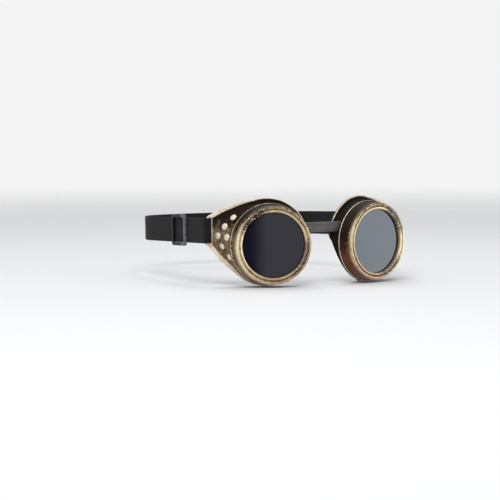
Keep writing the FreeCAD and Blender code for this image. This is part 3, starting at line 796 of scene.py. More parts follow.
def ring_finish(colours, ring, side):
    """Gilding over a dark ground: bright on the beads, worn on the side, thin on the back edge,
    where its pale line is partly a painted highlight. Painted shade darkens the top and painted
    light brightens the temple side.
    """
    f = Finish(f"antique_gold_{side}")
    spot = f.attribute("place")
    out, back, up = f.split(spot)
    radius = (out * out + up * up) ** 0.5
    turn = f.add("ShaderNodeMath", {"operation": "ARCTAN2"}, {0: up, 1: out})
    # grain, drawn out round the ring or even
    streaks = f.noise(f.join(turn * 7.0, radius * 900.0, back * 900.0), 1.6, detail=5.0)
    speckle = f.noise(f.join(turn * 16.0, radius * 700.0, back * 700.0), 1.1, detail=2.0)
    flecks = f.noise(spot, 1500.0, detail=3.0, roughness=0.6)
    patches = f.noise(spot, 330.0, detail=5.0, roughness=0.65)
    worn = (patches * 0.4 + flecks * 0.4 + streaks * 0.2 - 0.5) * 2.4 + 0.5
    # where on the ring
    top = up.step(4 * MM, 26 * MM)
    low = up.step(6 * MM, -24 * MM)
    temple = out.step(-8 * MM, 22 * MM)
    front = back.step(3.4 * MM, 1.8 * MM)
    shoulder = back.step(7.5 * MM, 2.5 * MM)
    outside = radius.step(28.2 * MM, 30.0 * MM)
    inner_bead = abs(radius - ring.inner_crest).step(0.95 * MM, 0.55 * MM)
    # painted shade: the outer bead dims towards the top
    outer_bead = abs(radius - ring.outer_crest).step(1.15 * MM, 0.5 * MM) * (1 - top * 0.3)
    beads = inner_bead.most(outer_bead)
    frayed = radius + (flecks - 0.5) * 0.4 * MM
    # back-edge line: rubbed gilding on the tail bead, made paler as a painted highlight
    tail = back.step(ring.depth - 1.7 * MM, ring.depth - 1.2 * MM)
    tail = tail * frayed.step(ring.tail - 0.36 * MM, ring.tail - 0.1 * MM)
    side_wall = (1 - front) * (1 - tail)
    arcs = []
    for bearing, spread, share in WORN_ARCS[side]:
        toward, spread = math.radians(bearing), math.radians(spread)
        facing = (out * math.cos(toward) + up * math.sin(toward)) / radius
        arcs.append(facing.step(math.cos(spread), math.cos(spread * 0.42)) * share)
    grime = arcs[0].most(arcs[1]) * front * (1 - outer_bead * 0.5)
    # how much gilding is left, with painted shade taking it off the top and painted light adding to
    # it on the temple side
    wall = 0.14 + shoulder * 0.18 + temple * (0.3 - top * 0.28) - top * 0.18
    face = 0.54 + beads * 0.26 + temple * (1 - top) * 0.12
    face = face - top * (outside * 0.3 + 0.05) - low * 0.16
    cover_and_painted_light = wall * side_wall + front * face + tail * 0.62
    gilt = (worn + cover_and_painted_light).step(0.82, 1.15) * (1 - grime) + speckle.step(0.5, 0.69) * grime
    # colours of the ground and of the gilding
    reddish = (patches + low * 0.8 - temple * 0.3).step(0.5, 1.05)
    ground = f.blend(reddish, colours.umber, colours.rust)
    ground = f.blend(grime, ground, colours.umber)
    ground = f.blend((front - grime) * 0.4, ground, colours.bronze)
    # painted light and shade: lighter on the temple side, darker at the top; the beads are lighter
    # as rubbed gilding
    bright = beads * 0.7 + temple * 0.3 - top * (outside * 0.3 + 0.08) - low * 0.25
    shine = (worn - 0.5) * 1.1 + bright * front + tail * 0.6
    metal = f.blend(shine, colours.gold, colours.pale_gold)
    metal = f.blend(low * (0.5 - temple * 0.3) + (1 - temple) * 0.25, metal, colours.copper)
    metal = f.blend(grime * 0.5, metal, colours.lip)
    metal = f.blend(side_wall * 0.5, metal, colours.bronze)
    # the back edge turns to the lip's pale colour, partly a painted highlight
    metal = f.blend(tail * 0.6, metal, colours.lip)
    return f.surface(
        Base_Color=f.blend(gilt, ground, metal),
        Metallic=gilt * 0.5,
        Roughness=0.5 - gilt * 0.16 + (flecks - 0.5) * 0.3,
        Specular_IOR_Level=0.1,
        Normal=f.bump(patches * 0.6 + flecks * 0.5 + streaks * 0.5, 0.22 * MM, 0.8),
    )


def cup_finish(colours, cup, strap):
    """Brushed bronze over umber, with a rubbed pale edge round the lip, a painted highlight along
    the strap slot's edge, and painted shade towards the top.
    """
    f = Finish("brushed_bronze")
    spot = f.attribute("place")
    out, back, up = f.split(spot)
    edge, _, _ = f.split(f.attribute("edge"))
    centre = rim_centre(cup)
    aside = out - centre.x
    rim = back - centre.y + (cup.rim_round**2 - aside * aside) ** 0.5
    lip = rim.step(-cup.lip_thick - 0.3 * MM, -cup.lip_thick - 0.05 * MM)
    flecks = f.noise(spot, 1300.0, detail=4.0, roughness=0.65)
    patches = f.noise(spot, 280.0, detail=5.0, roughness=0.6, distortion=0.3)
    brush = f.noise(f.join((out + up) * 300.0, back * 300.0, (out - up) * 1400.0), 1.0, detail=4.0)
    wing = out.step(4 * MM, 30 * MM)
    top = up.step(8 * MM, 28 * MM)
    worn = (patches * 0.55 + flecks * 0.3 + brush * 0.15 - 0.5) * 2.0 + 0.5
    rubbed = edge - (0.7 + wing * 2.2) * MM + (brush - 0.5) * 1.2 * MM
    nose = out.step(-6 * MM, -18 * MM) * up.step(22 * MM, 13 * MM)
    rubbed = rubbed.step(0.35 * MM, -0.35 * MM) * (1 - nose * 0.9)
    # painted highlight: a pale line along the strap slot's inner edge, in the lip colour
    painted_slot_highlight = abs(out - cup.slot_start + 0.2 * MM).step(0.55 * MM, 0.2 * MM)
    painted_slot_highlight = painted_slot_highlight * abs(up - strap.rise).step(cup.slot_half + 0.6 * MM, cup.slot_half)
    thin = (rim + cup.lip_thick - (0.7 + wing * 1.6) * MM).step(0.2 * MM, -0.2 * MM)
    pale = lip * (rubbed * thin).most(painted_slot_highlight * 0.75)
    # painted shade: less bronze and gilt towards the top
    cover_and_painted_light = 0.1 - top * 0.14 + wing * (0.46 - top * 0.5)
    bronze = (worn + cover_and_painted_light).step(0.72, 1.25)
    gilt = (flecks + wing * 0.12 - top * 0.1).step(0.66, 0.82) * bronze
    ground = f.blend(bronze, colours.umber, colours.bronze)
    ground = f.blend(gilt * 0.6, ground, colours.gold)
    bright = f.blend((worn + 0.35).step(0.45, 0.95), colours.gold, colours.lip)
    return f.surface(
        Base_Color=f.blend(pale, ground, bright),
        Metallic=bronze * 0.2,
        Roughness=0.52 - bronze * 0.08 + (flecks - 0.5) * 0.22,
        Specular_IOR_Level=0.05,
        Normal=f.bump(patches * 0.7 + flecks * 0.4 + brush * 0.2, 0.2 * MM, 0.8),
    )


def inside_finish(colours):
    """Plain moulded inside of a cup."""
    f = Finish("moulded_inside")
    spot = f.attribute("place")
    grain = f.noise(spot, 900.0, detail=4.0)
    patches = f.noise(spot, 90.0)
    light = shade(colours.inside, 1.7)
    return f.surface(
        Base_Color=f.blend(patches.step(0.35, 0.7), colours.inside, light),
        Roughness=0.55 + (grain - 0.5) * 0.25,
        Normal=f.bump(grain, 0.06 * MM, 0.6),
    )


def stud_finish(colours):
    """Pale rubbed stud, with dirt left round its foot."""
    f = Finish("rubbed_stud")
    spot = f.attribute("place")
    _, _, height = f.split(spot)
    grain = f.noise(spot, 1600.0, detail=4.0)
    clean = (height + (grain - 0.5) * 0.5 * MM).step(0.0, 0.4 * MM)
    return f.surface(
        Base_Color=f.blend(clean, colours.umber, colours.stud),
        Metallic=clean * 0.3,
        Roughness=0.5 - clean * 0.12 + (grain - 0.5) * 0.2,
        Normal=f.bump(grain, 0.08 * MM, 0.6),
    )


def lens_finish(colours):
    """Tinted, polished lens, with faint wipe marks, and painted shade darkening it towards the rim.
    """
    f = Finish("tinted_lens")
    spot = f.attribute("place")
    out, back, up = f.split(spot)
    wipe = f.noise(f.join(out * 0.35, back, up), 160.0, detail=5.0, roughness=0.7)
    # painted shade: the lens is darkened towards its rim, where it sits recessed behind the ring's
    # lip
    edge = ((out * out + up * up) ** 0.5).step(22.5 * MM, 25.8 * MM)
    dark = shade(colours.lens, 0.45)
    return f.surface(
        Base_Color=f.blend(edge, colours.lens, dark),
        Roughness=0.04 + wipe.step(0.45, 0.8) * 0.05,
        IOR=1.5,
    )


def rubber_finish(name, tint):
    f = Finish(name)
    spot = f.attribute("place")
    grain = f.noise(spot, 1100.0, detail=4.0)
    patches = f.noise(spot, 140.0)
    dark = shade(tint, 0.62)
    return f.surface(
        Base_Color=f.blend(patches.step(0.3, 0.7), dark, tint),
        Roughness=0.5 + (grain - 0.5) * 0.3,
        Normal=f.bump(grain, 0.05 * MM, 0.5),
    )


def webbing_finish(colours):
    """Woven elastic: ribs along the strap, crossed by the weft."""
    f = Finish("woven_elastic")
    along, across, _ = f.split(f.attribute("weave"))
    ribs = (across * (2 * math.pi / (0.9 * MM))).math("SINE")
    weft = (along * (2 * math.pi / (0.7 * MM))).math("SINE")
    weave = ribs * 0.5 + ribs * weft * 0.35 + weft * 0.3
    fuzz = f.noise(f.join(along * 1000.0, across * 1000.0, 0.0), 1.6, detail=3.0)
    wear = f.noise(f.join(along * 40.0, across * 90.0, 0.0), 1.0, detail=2.0)
    light = shade(colours.webbing, 1.9)
    tone = weave * 0.22 + fuzz * 0.6 + wear * 0.4
    return f.surface(
        Base_Color=f.blend(tone.step(0.2, 0.85), colours.webbing, light),
        Roughness=0.8,
        Specular_IOR_Level=0.15,
        Sheen_Weight=0.04,
        Sheen_Roughness=0.5,
        Normal=f.bump(weave + fuzz * 0.5, 0.12 * MM, 0.75),
    )


def thread_finish(colours):
    f = Finish("sewing_thread")
    spot = f.attribute("place")
    twist = f.noise(spot, 2600.0, detail=2.0)
    light = shade(colours.thread, 1.8)
    return f.surface(
        Base_Color=f.blend(twist.step(0.35, 0.65), colours.thread, light),
        Roughness=0.7,
        Normal=f.bump(twist, 0.05 * MM, 0.6),
    )


def slider_finish(colours, slider):
    """Moulded slider, grey with lighter scuffs on its front bar; behind that bar a painted shadow
    darkens it to near-black.
    """
    f = Finish("moulded_slider")
    spot = f.attribute("place")
    _, back, _ = f.split(spot)
    grain = f.noise(spot, 1200.0, detail=4.0)
    scuffs = f.noise(spot, 420.0, detail=5.0, roughness=0.7)
    light = shade(colours.slider, 2.4)
    # painted shadow: behind the front bar the slider is darkened to near-black; the mask below is 1
    # on the front bar and 0 in that shadow
    dark = shade(colours.slider, 0.08)
    out_of_painted_shadow = (back + (scuffs - 0.5) * 4 * MM).step(slider.start + 10 * MM, slider.start + 5 * MM)
    rubbed = f.blend(scuffs.step(0.45, 0.75), colours.slider, light)
    return f.surface(
        Base_Color=f.blend(out_of_painted_shadow, dark, rubbed),
        Roughness=0.34 + (grain - 0.5) * 0.2,
        Specular_IOR_Level=0.12,
        Normal=f.bump(grain + scuffs * 0.4, 0.04 * MM, 0.5),
    )


# Pieces


def ring_profile(ring):
    """(radius, depth) round the ring's wall: lip, two beads, side, tail bead, bore."""
    opening = Vector((ring.opening, ring.lip_back * ring.lip_front))
    groove = Vector((ring.groove, ring.groove_depth))
    shoulder = Vector((ring.shoulder, ring.outer_bead * ring.shoulder_back))
    tail_front = Vector((ring.tail - ring.tail_round, ring.depth - ring.tail_round * 2))
    tail_back = Vector((ring.tail - ring.tail_round, ring.depth))
    points = [Vector((ring.opening, ring.lip_back)), opening]
    points += arc(opening, groove, ring.inner_bead, 12)
    points += arc(groove, shoulder, ring.outer_bead, 14)
    points += [
        Vector((ring.skirt - ring.ease, ring.skirt_start - ring.ease_run)),
        Vector((ring.skirt, ring.skirt_start)),
        Vector((ring.skirt, ring.skirt_end)),
        Vector((ring.skirt + ring.ease, ring.skirt_end + ring.ease_run)),
        tail_front,
    ]
    points += arc(tail_front, tail_back, ring.tail_round, 8)
    points += [
        Vector((ring.bore + ring.chamfer, ring.depth)),
        Vector((ring.bore, ring.depth - ring.chamfer)),
        Vector((ring.bore, ring.lip_back)),
    ]
    return points


class GOGGLES_OT_rings(bpy.types.Operator):
    """Turns both lens rings"""

    bl_idname = "goggles.rings"
    bl_label = "Lens rings"

    def execute(self, context):
        ring = context.scene.goggle_ring
        for side in SIDES:
            gold = ring_finish(context.scene.goggle_colours, ring, side)
            bm = spin_profile(ring_profile(ring), ring.steps)
            cup_piece(side, "gilt_ring", bm, [gold], "ring", "ring_gold", "lens_ring")
        return {"FINISHED"}


# Steps out from the middle of a lens, as shares of its radius
LENS_SHARES = (0, 0.2, 0.4, 0.6, 0.75, 0.86)


def lens_profile(lens):
    """(radius, depth) of half the lens, from the middle of its front to that of its back."""
    front = [
        Vector((lens.radius * share, lens.front - lens.dome * (1 - share**2)))
        for share in LENS_SHARES
    ]
    return front + [
        Vector((lens.radius - lens.edge, lens.front)),
        Vector((lens.radius, lens.front + lens.edge)),
        Vector((lens.radius, lens.back - lens.edge)),
        Vector((lens.radius - lens.edge, lens.back)),
        Vector((lens.radius * 0.6, lens.back - lens.dome * 0.6)),
        Vector((0, lens.back - lens.dome)),
    ]


def gasket_profile(lens):
    """(radius, depth) round the gasket."""
    inner, outer, edge = lens.gasket_in, lens.gasket_out, lens.gasket_edge
    front, back = lens.gasket_front, lens.gasket_back
    return [
        Vector((inner, front + edge)),
        Vector((inner + edge, front)),
        Vector((outer - edge, front)),
        Vector((outer, front + edge)),
        Vector((outer, back - edge)),
        Vector((outer - edge, back)),
        Vector((inner + edge, back)),
        Vector((inner, back - edge)),
    ]


class GOGGLES_OT_lenses(bpy.types.Operator):
    """Turns the lenses and the gaskets behind them"""

    bl_idname = "goggles.lenses"
    bl_label = "Lenses and gaskets"

    def execute(self, context):
        lens, colours = context.scene.goggle_lens, context.scene.goggle_colours
        tint = lens_finish(colours)
        rubber = rubber_finish("gasket_rubber", colours.gasket)
        for side in SIDES:
            bm = spin_profile(lens_profile(lens), lens.steps, closed=False)
            cup_piece(side, "tinted_lens", bm, [tint], "lens_carrier", "lens_tint", "lens")
            bm = spin_profile(gasket_profile(lens), lens.steps)
            cup_piece(side, "gasket", bm, [rubber], "cup", "gasket_rubber", "lens_gasket")
        return {"FINISHED"}


def wall_share(near, far, near_depth, far_depth, depth_at):
    """How far along a straight line of the wall a depth lies that depends on the place."""
    share = 0.5
    for _ in range(12):
        spot = near.lerp(far, share)
        share = (depth_at(spot.x) - near_depth) / (far_depth - near_depth)
    return share


# Where the wall's loops lie between the shoulder and the rim, and the lip's on its ledge
WALL_SHARES = (0.03, 0.12, 0.25, 0.4, 0.55, 0.7, 0.85, 0.95, 1.0)
LEDGE_SHARES = (0.15, 0.35, 0.55, 0.75, 0.9)
# How far in from the lip the hollow's last loop lies, and the turns of a quarter round
MOUTH_SHARE = 0.12
QUARTER = [math.pi / 8 * n for n in range(5)]


def cup_loops(cup, strap):
    """Loops of the cup from the barrel over the wall and lip and back through the hollow, the
    number of the first one inside, and the lip's outline."""

    def foot(inset):
        radius, tip, half = cup.foot - inset, cup.tip - inset, cup.tip_half - inset
        corners = wing_corners(cup, radius, tip, tip, half, cup.corner, strap.rise)
        return corners, wing_outline(cup, radius, corners, cup.corner)

    def lip(inset, ahead):
        radius, half = cup.lip - inset, cup.lip_half - inset
        upper, lower = cup.lip_upper - inset, cup.lip_lower - inset
        corners = wing_corners(cup, radius, upper, lower, half, cup.lip_corner, strap.rise)
        outline = wing_outline(cup, radius, corners, cup.lip_corner)
        return [Vector((p.x, rim_depth(cup, p.x) - ahead, p.y)) for p in outline]

    def circle(radius, corners, depth):
        return [Vector((p.x, depth, p.y)) for p in round_outline(radius, corners)]

    def wall(near, far, near_depth, far_depth, ahead, shares):
        def depth_at(out):
            return rim_depth(cup, out) - ahead

        lines = []
        for a, b in zip(near, far):
            lines.append((a, b, wall_share(a, b, near_depth, far_depth, depth_at)))
        loops = []
        for share in shares:
            loop = []
            for a, b, end in lines:
                p = a.lerp(b, end * share)
                loop.append(Vector((p.x, near_depth + (far_depth - near_depth) * end * share, p.y)))
            loops.append(loop)
        return loops

    corners, outer_foot = foot(0)
    inner_corners, inner_foot = foot(cup.wall)
    shoulder = round_outline(cup.shoulder, corners)
    outside = (shoulder, outer_foot, cup.shoulder_depth, cup.foot_depth)
    cavity_front = cup.shoulder_depth + cup.wall
    cavity_radius = cup.shoulder - cup.wall
    cavity = round_outline(cavity_radius, inner_corners)
    hollow = (cavity, inner_foot, cavity_front, cup.cavity_depth)
    loops = [
        circle(cup.barrel - cup.soft, corners, cup.barrel_front),
        circle(cup.barrel, corners, cup.barrel_front + cup.soft),
        circle(cup.barrel, corners, cup.shoulder_depth),
        circle(cup.shoulder - cup.soft, corners, cup.shoulder_depth),
    ]
    loops += wall(*outside, cup.lip_thick + cup.fillet, WALL_SHARES)
    ledge = wall(*outside, cup.lip_thick, (1.0,))[0]
    edge = lip(cup.lip_round, cup.lip_thick)
    for share in LEDGE_SHARES:
        loops.append([a.lerp(b, share) for a, b in zip(ledge, edge)])
    for turn in QUARTER:
        inset, ahead = 1 - math.sin(turn), 1 - math.cos(turn)
        loops.append(lip(cup.lip_round * inset, cup.lip_thick - cup.lip_round * ahead))
    for turn in QUARTER:
        inset, ahead = 1 - math.cos(turn), 1 - math.sin(turn)
        loops.append(lip(cup.lip_round * inset, cup.lip_round * ahead))
    inside = len(loops)
    rim_in = wall(*hollow, 0, (1.0,))[0]
    loops.append([a.lerp(b, MOUTH_SHARE) for a, b in zip(rim_in, lip(cup.lip_round, 0))])
    loops += wall(*hollow, cup.soft, WALL_SHARES)[::-1]
    loops += [
        circle(cavity_radius - cup.soft, inner_corners, cavity_front),
        circle(cup.bore + cup.soft, inner_corners, cavity_front),
        circle(cup.bore, inner_corners, cavity_front - cup.soft),
        circle(cup.bore, inner_corners, cup.barrel_front),
    ]
    return loops, inside, lip(0, 0)


def barrel_thread(cup, ring):
    """A helical ridge round the barrel."""
    root = cup.barrel - cup.thread_sink
    crest = cup.barrel + cup.thread_height
    start = cup.barrel_front + cup.thread_start
    steps = int(ring.steps * cup.thread_turns)
    # radius, and how far back as a share of the pitch
    ridge = ((root, 0), (crest, 0.21), (crest, 0.33), (root, 0.54))
    bm = chain([Vector((radius, start + cup.thread_pitch * back, 0)) for radius, back in ridge])
    bm.faces.new(bm.verts[:])
    made = bmesh.ops.spin(
        bm,
        geom=bm.verts[:] + bm.edges[:],
        cent=(0, 0, 0),
        axis=(0, 1, 0),
        dvec=Vector((0, cup.thread_pitch * cup.thread_turns / steps, 0)),
        angle=2 * math.pi * cup.thread_turns,
        steps=steps,
    )
    bm.faces.new([part for part in made["geom_last"] if isinstance(part, bmesh.types.BMVert)])
    bmesh.ops.recalc_face_normals(bm, faces=bm.faces[:])
    return bm


def relief_tool(cup):
    """The hollow that clears the side of the nose, a wide cylinder that leans."""
    bm = rod(cup.relief, cup.relief * 4, cup.relief_steps)
    lean = Matrix.Rotation(-cup.relief_turn, 4, "Y")
    move(bm, lean @ Matrix.Translation((-cup.relief_in, cup.relief_back + cup.relief, 0)))
    return bm


def cup_tools(side, cup, strap, bridge):
    """What is cut from a cup: the strap slot, the nose slot, the bead's seat, the nose relief."""
    slot = box(
        (cup.slot_start, cup.slot_front, strap.rise - cup.slot_half),
        (cup.slot_start + cup.slot_width, cup.slot_back, strap.rise + cup.slot_half),
    )
    tall = bridge.height / 2 + cup.nose_gap
    nose = box((-cup.nose_reach, -bridge.slot_half, -tall), (bridge.bead, bridge.slot_half, tall))
    around = bridge.bead_height + 2 * cup.seat_gap
    seat = rod(bridge.bead + cup.seat_gap, around, bridge.bead_steps)
    pivot = cup_matrix(side).inverted() @ Vector(JOINTS[f"{side}_cup_toe"]["pos_m"])
    move(nose, Matrix.Translation(pivot) @ Matrix.Rotation(-TOE_OUT, 4, "Z"))
    move(seat, Matrix.Translation(pivot))
    return [slot, nose, seat, relief_tool(cup)]


class GOGGLES_OT_cups(bpy.types.Operator):
    """Models both eyecups, with the strap slot, the nose slot and the thread"""

    bl_idname = "goggles.cups"
    bl_label = "Eyecups"

    def execute(self, context):
        scene = context.scene
        cup, strap = scene.goggle_cup, scene.goggle_strap
        bronze = cup_finish(scene.goggle_colours, cup, strap)
        plain = inside_finish(scene.goggle_colours)
        loops, inside, outline = cup_loops(cup, strap)
        for side in SIDES:
            shell = loft_loops(loops)
            for n, face in enumerate(shell.faces):
                face.material_index = 1 if n // len(loops[0]) >= inside - 1 else 0
            bmesh.ops.recalc_face_normals(shell, faces=shell.faces[:])
            bm = cut(shell, cup_tools(side, cup, strap, scene.goggle_bridge))
            edge_layer(bm, outline)
            cup_piece(side, "bronze_cup", bm, [bronze, plain], "cup", "cup_shell", "eyecup")
            bm = barrel_thread(cup, scene.goggle_ring)
            edge_layer(bm, outline)
            cup_piece(side, "barrel_thread", bm, [bronze], "cup", "cup_shell")
        return {"FINISHED"}


def islands(node):
    """Vertex places of each separate solid of a node."""
    bm = bmesh.new()
    bm.from_mesh(node.data)
    bmesh.ops.remove_doubles(bm, verts=bm.verts[:], dist=WELD)
    left = set(bm.verts)
    found = []
    while left:
        heap = [left.pop()]
        group = []
        while heap:
            spot = heap.pop()
            group.append(spot.co.copy())
            for edge in spot.link_edges:
                other = edge.other_vert(spot)
                if other in left:
                    left.remove(other)
                    heap.append(other)
        found.append(group)
    bm.free()
    return found


# Turns from the top of a stud's dome, and the dome's middle as a share of the stud's height
DOME_TURNS = (0, 0.25, 0.5, 0.75, 1.0, 1.25)
DOME_MIDDLE = 0.3


def stud_profile(stud):
    """(radius, height) of half a stud, from the top of its dome to the middle of its foot."""
    brim = stud.radius - stud.edge
    low = stud.height * DOME_MIDDLE
    dome = [
        Vector((math.sin(turn) * brim, low + (stud.height - low) * math.cos(turn)))
        for turn in DOME_TURNS
    ]
    return dome + [
        Vector((stud.radius - stud.edge * 0.3, stud.edge * 0.75)),
        Vector((stud.radius, stud.edge * 0.2)),
        Vector((stud.radius, -stud.sink)),
        Vector((0, -stud.sink)),
    ]


def stud_seat(group, middle, height):
    """From a stud's own frame, Z out of the wall, to the place of one of the frame's studs."""
    spots = numpy.array(group)
    centre = spots.mean(axis=0)
    axis = Vector(numpy.linalg.svd(spots - centre)[2][2])
    if axis.dot(Vector(centre) - middle) < 0:
        axis.negate()
    along = (spots - centre) @ numpy.array(axis)
    base = Vector(centre) + axis * (along.max() - height)
    return Matrix.Translation(base) @ UP.rotation_difference(axis).to_matrix().to_4x4()


class GOGGLES_OT_studs(bpy.types.Operator):
    """Turns a domed stud on each stud of the frame"""

    bl_idname = "goggles.studs"
    bl_label = "Wing studs"

    def execute(self, context):
        stud = context.scene.goggle_stud
        pale = stud_finish(context.scene.goggle_colours)
        for side in SIDES:
            node = f"{side}_wing_studs"
            middle = cup_matrix(side).translation
            whole = bmesh.new()
            whole.verts.layers.float_vector.new("place")
            for group in islands(frame["nodes"][node]):
                bm = spin_profile(stud_profile(stud), stud.steps, closed=False)
                move(bm, Matrix.Rotation(math.pi / 2, 4, "X"))
                bmesh.ops.recalc_face_normals(bm, faces=bm.faces[:])
                place_layer(bm)
                move(bm, stud_seat(group, middle, stud.height))
                join(whole, bm)
            name, still = f"{side}_domed_studs", Matrix.Identity(4)
            make_piece(name, whole, still, [pale], f"{side}_cup", [node])
        return {"FINISHED"}


class GOGGLES_OT_bridge(bpy.types.Operator):
    """Models the rubber nose bridge with its end beads and ribs"""

    bl_idname = "goggles.bridge"
    bl_label = "Nose bridge"

    def execute(self, context):
        bridge = context.scene.goggle_bridge
        rubber = rubber_finish("bridge_rubber", context.scene.goggle_colours.rubber)
        pivot = Vector(JOINTS["left_cup_toe"]["pos_m"])
        half, tall = bridge.thick / 2, bridge.height / 2
        bm = box((-pivot.x, -half, -tall), (pivot.x, half, tall))
        round_edges(bm, long_edges(bm, pivot.x), bridge.edge, 3)
        whole = bm.verts[:] + bm.edges[:] + bm.faces[:]
        bmesh.ops.bisect_plane(bm, geom=whole, plane_co=(0, 0, 0), plane_no=(1, 0, 0))
        reach = pivot.x * bridge.rib_share
        for end in (-1, 1):
            level = tall * bridge.rib_share * end
            rib = box(
                (-reach, -half - bridge.rib, level - bridge.rib_height / 2),
                (reach, -half + bridge.edge, level + bridge.rib_height / 2),
            )
            round_edges(rib, rib.edges[:], bridge.rib_edge)
            join(bm, rib)
        for end in (-1, 1):
            bead = rod(bridge.bead, bridge.bead_height, bridge.bead_steps)
            caps = [e for e in bead.edges if any(len(face.verts) > 4 for face in e.link_faces)]
            round_edges(bead, caps, bridge.bead_edge, 3)
            move(bead, Matrix.Translation((pivot.x * end, 0, 0)))
            join(bm, bead)
        place_layer(bm)
        middle = Matrix.Translation((0, pivot.y, pivot.z))
        make_piece(
            "rubber_bridge", bm, middle, [rubber], ROOT, ["nose_bridge"]
        )
        return {"FINISHED"}


# Spacing of the webbing's stations: round the head, on a straight, at a slot, at a bend
BAND_PITCH, PITCH, SLOT_PITCH, BEND_PITCH = 4 * MM, 2 * MM, 1.5 * MM, 1 * MM
# Stations round the head, a slot's bar and the slider's bar
BAND_COUNT, TURN_COUNT, WRAP_COUNT = 72, 20, 14
# Lengths off the ends of the turned and the inner webbing, given to bend(), which leaves the
# webbing unbent
BEND_END, DRAW_END = 2 * MM, 0.5 * MM


def webbing_outline(strap):
    """Section of the webbing, X through its thickness and Y across it, with round selvedges."""
    half, wide, edge = strap.thick / 2, strap.width / 2, strap.selvedge
    side = ((half, wide - edge), (half - edge, wide), (edge - half, wide), (-half, wide - edge))
    return [(x * end, y * end) for end in (1, -1) for x, y in side]


def stations(path, turn=Matrix.Identity(4)):
    """Frames along a path in the plane, each with how far along it lies."""
    found = []
    along = 0.0
    for n, spot in enumerate(path):
        before = path[max(n - 1, 0)]
        after = path[min(n + 1, len(path) - 1)]
        if n:
            along += (spot - before).length
        way = (after - before).normalized()
        side = Vector((way.y, -way.x))
        grid = Matrix((
            (side.x, 0, way.x, spot.x),
            (side.y, 0, way.y, spot.y),
            (0, 1, 0, 0),
            (0, 0, 0, 1),
        ))
        found.append((turn @ grid, along))
    return found


def run(first, last, pitch=PITCH):
    """Points after first up to last, evenly along a straight line."""
    first, last = Vector(first), Vector(last)
    count = max(1, round((last - first).length / pitch))
    return [first.lerp(last, n / count) for n in range(1, count + 1)]


def bow(centre, radius, start, end, count):
    """Points after start up to end, in degrees, on an arc."""
    bearings = [math.radians(start + (end - start) * n / count) for n in range(1, count + 1)]
    return [Vector(centre) + polar(radius, bearing) for bearing in bearings]


def stitches(strap, spots):
    """Stitches laid on the webbing: a short rounded thread for each place and heading."""
    whole = bmesh.new()
    shown = strap.stitch * strap.stitch_share
    half = Vector((strap.stitch_thick, shown, strap.stitch_width)) / 2
    for place, heading in spots:
        bm = box(-half, half)
        round_edges(bm, bm.edges[:], strap.stitch_edge)
        move(bm, Matrix.Translation(place) @ Matrix.Rotation(heading, 4, "X"))
        join(whole, bm)
    place_layer(whole)
    return whole


def stitch_box(strap, x, first, last):
    """Places of a sewn box: two rows along the strap, and one across at each end."""
    inset = strap.width / 2 - strap.stitch_inset
    count = max(1, round((last - first) / strap.stitch))
    along = [first + (last - first) * (n + 0.5) / count for n in range(count)]
    count = max(1, round(2 * inset / strap.stitch))
    across = [-inset + 2 * inset * (n + 0.5) / count for n in range(count)]
    found = [((x, y, z), 0.0) for z in (inset, -inset) for y in along]
    return found + [((x, y, z), math.pi / 2) for y in (first, last) for z in across]


def middle_bar(slider):
    """From the slot's bar to the front of the slider's middle bar."""
    return slider.start + (slider.reach - slider.bar) / 2


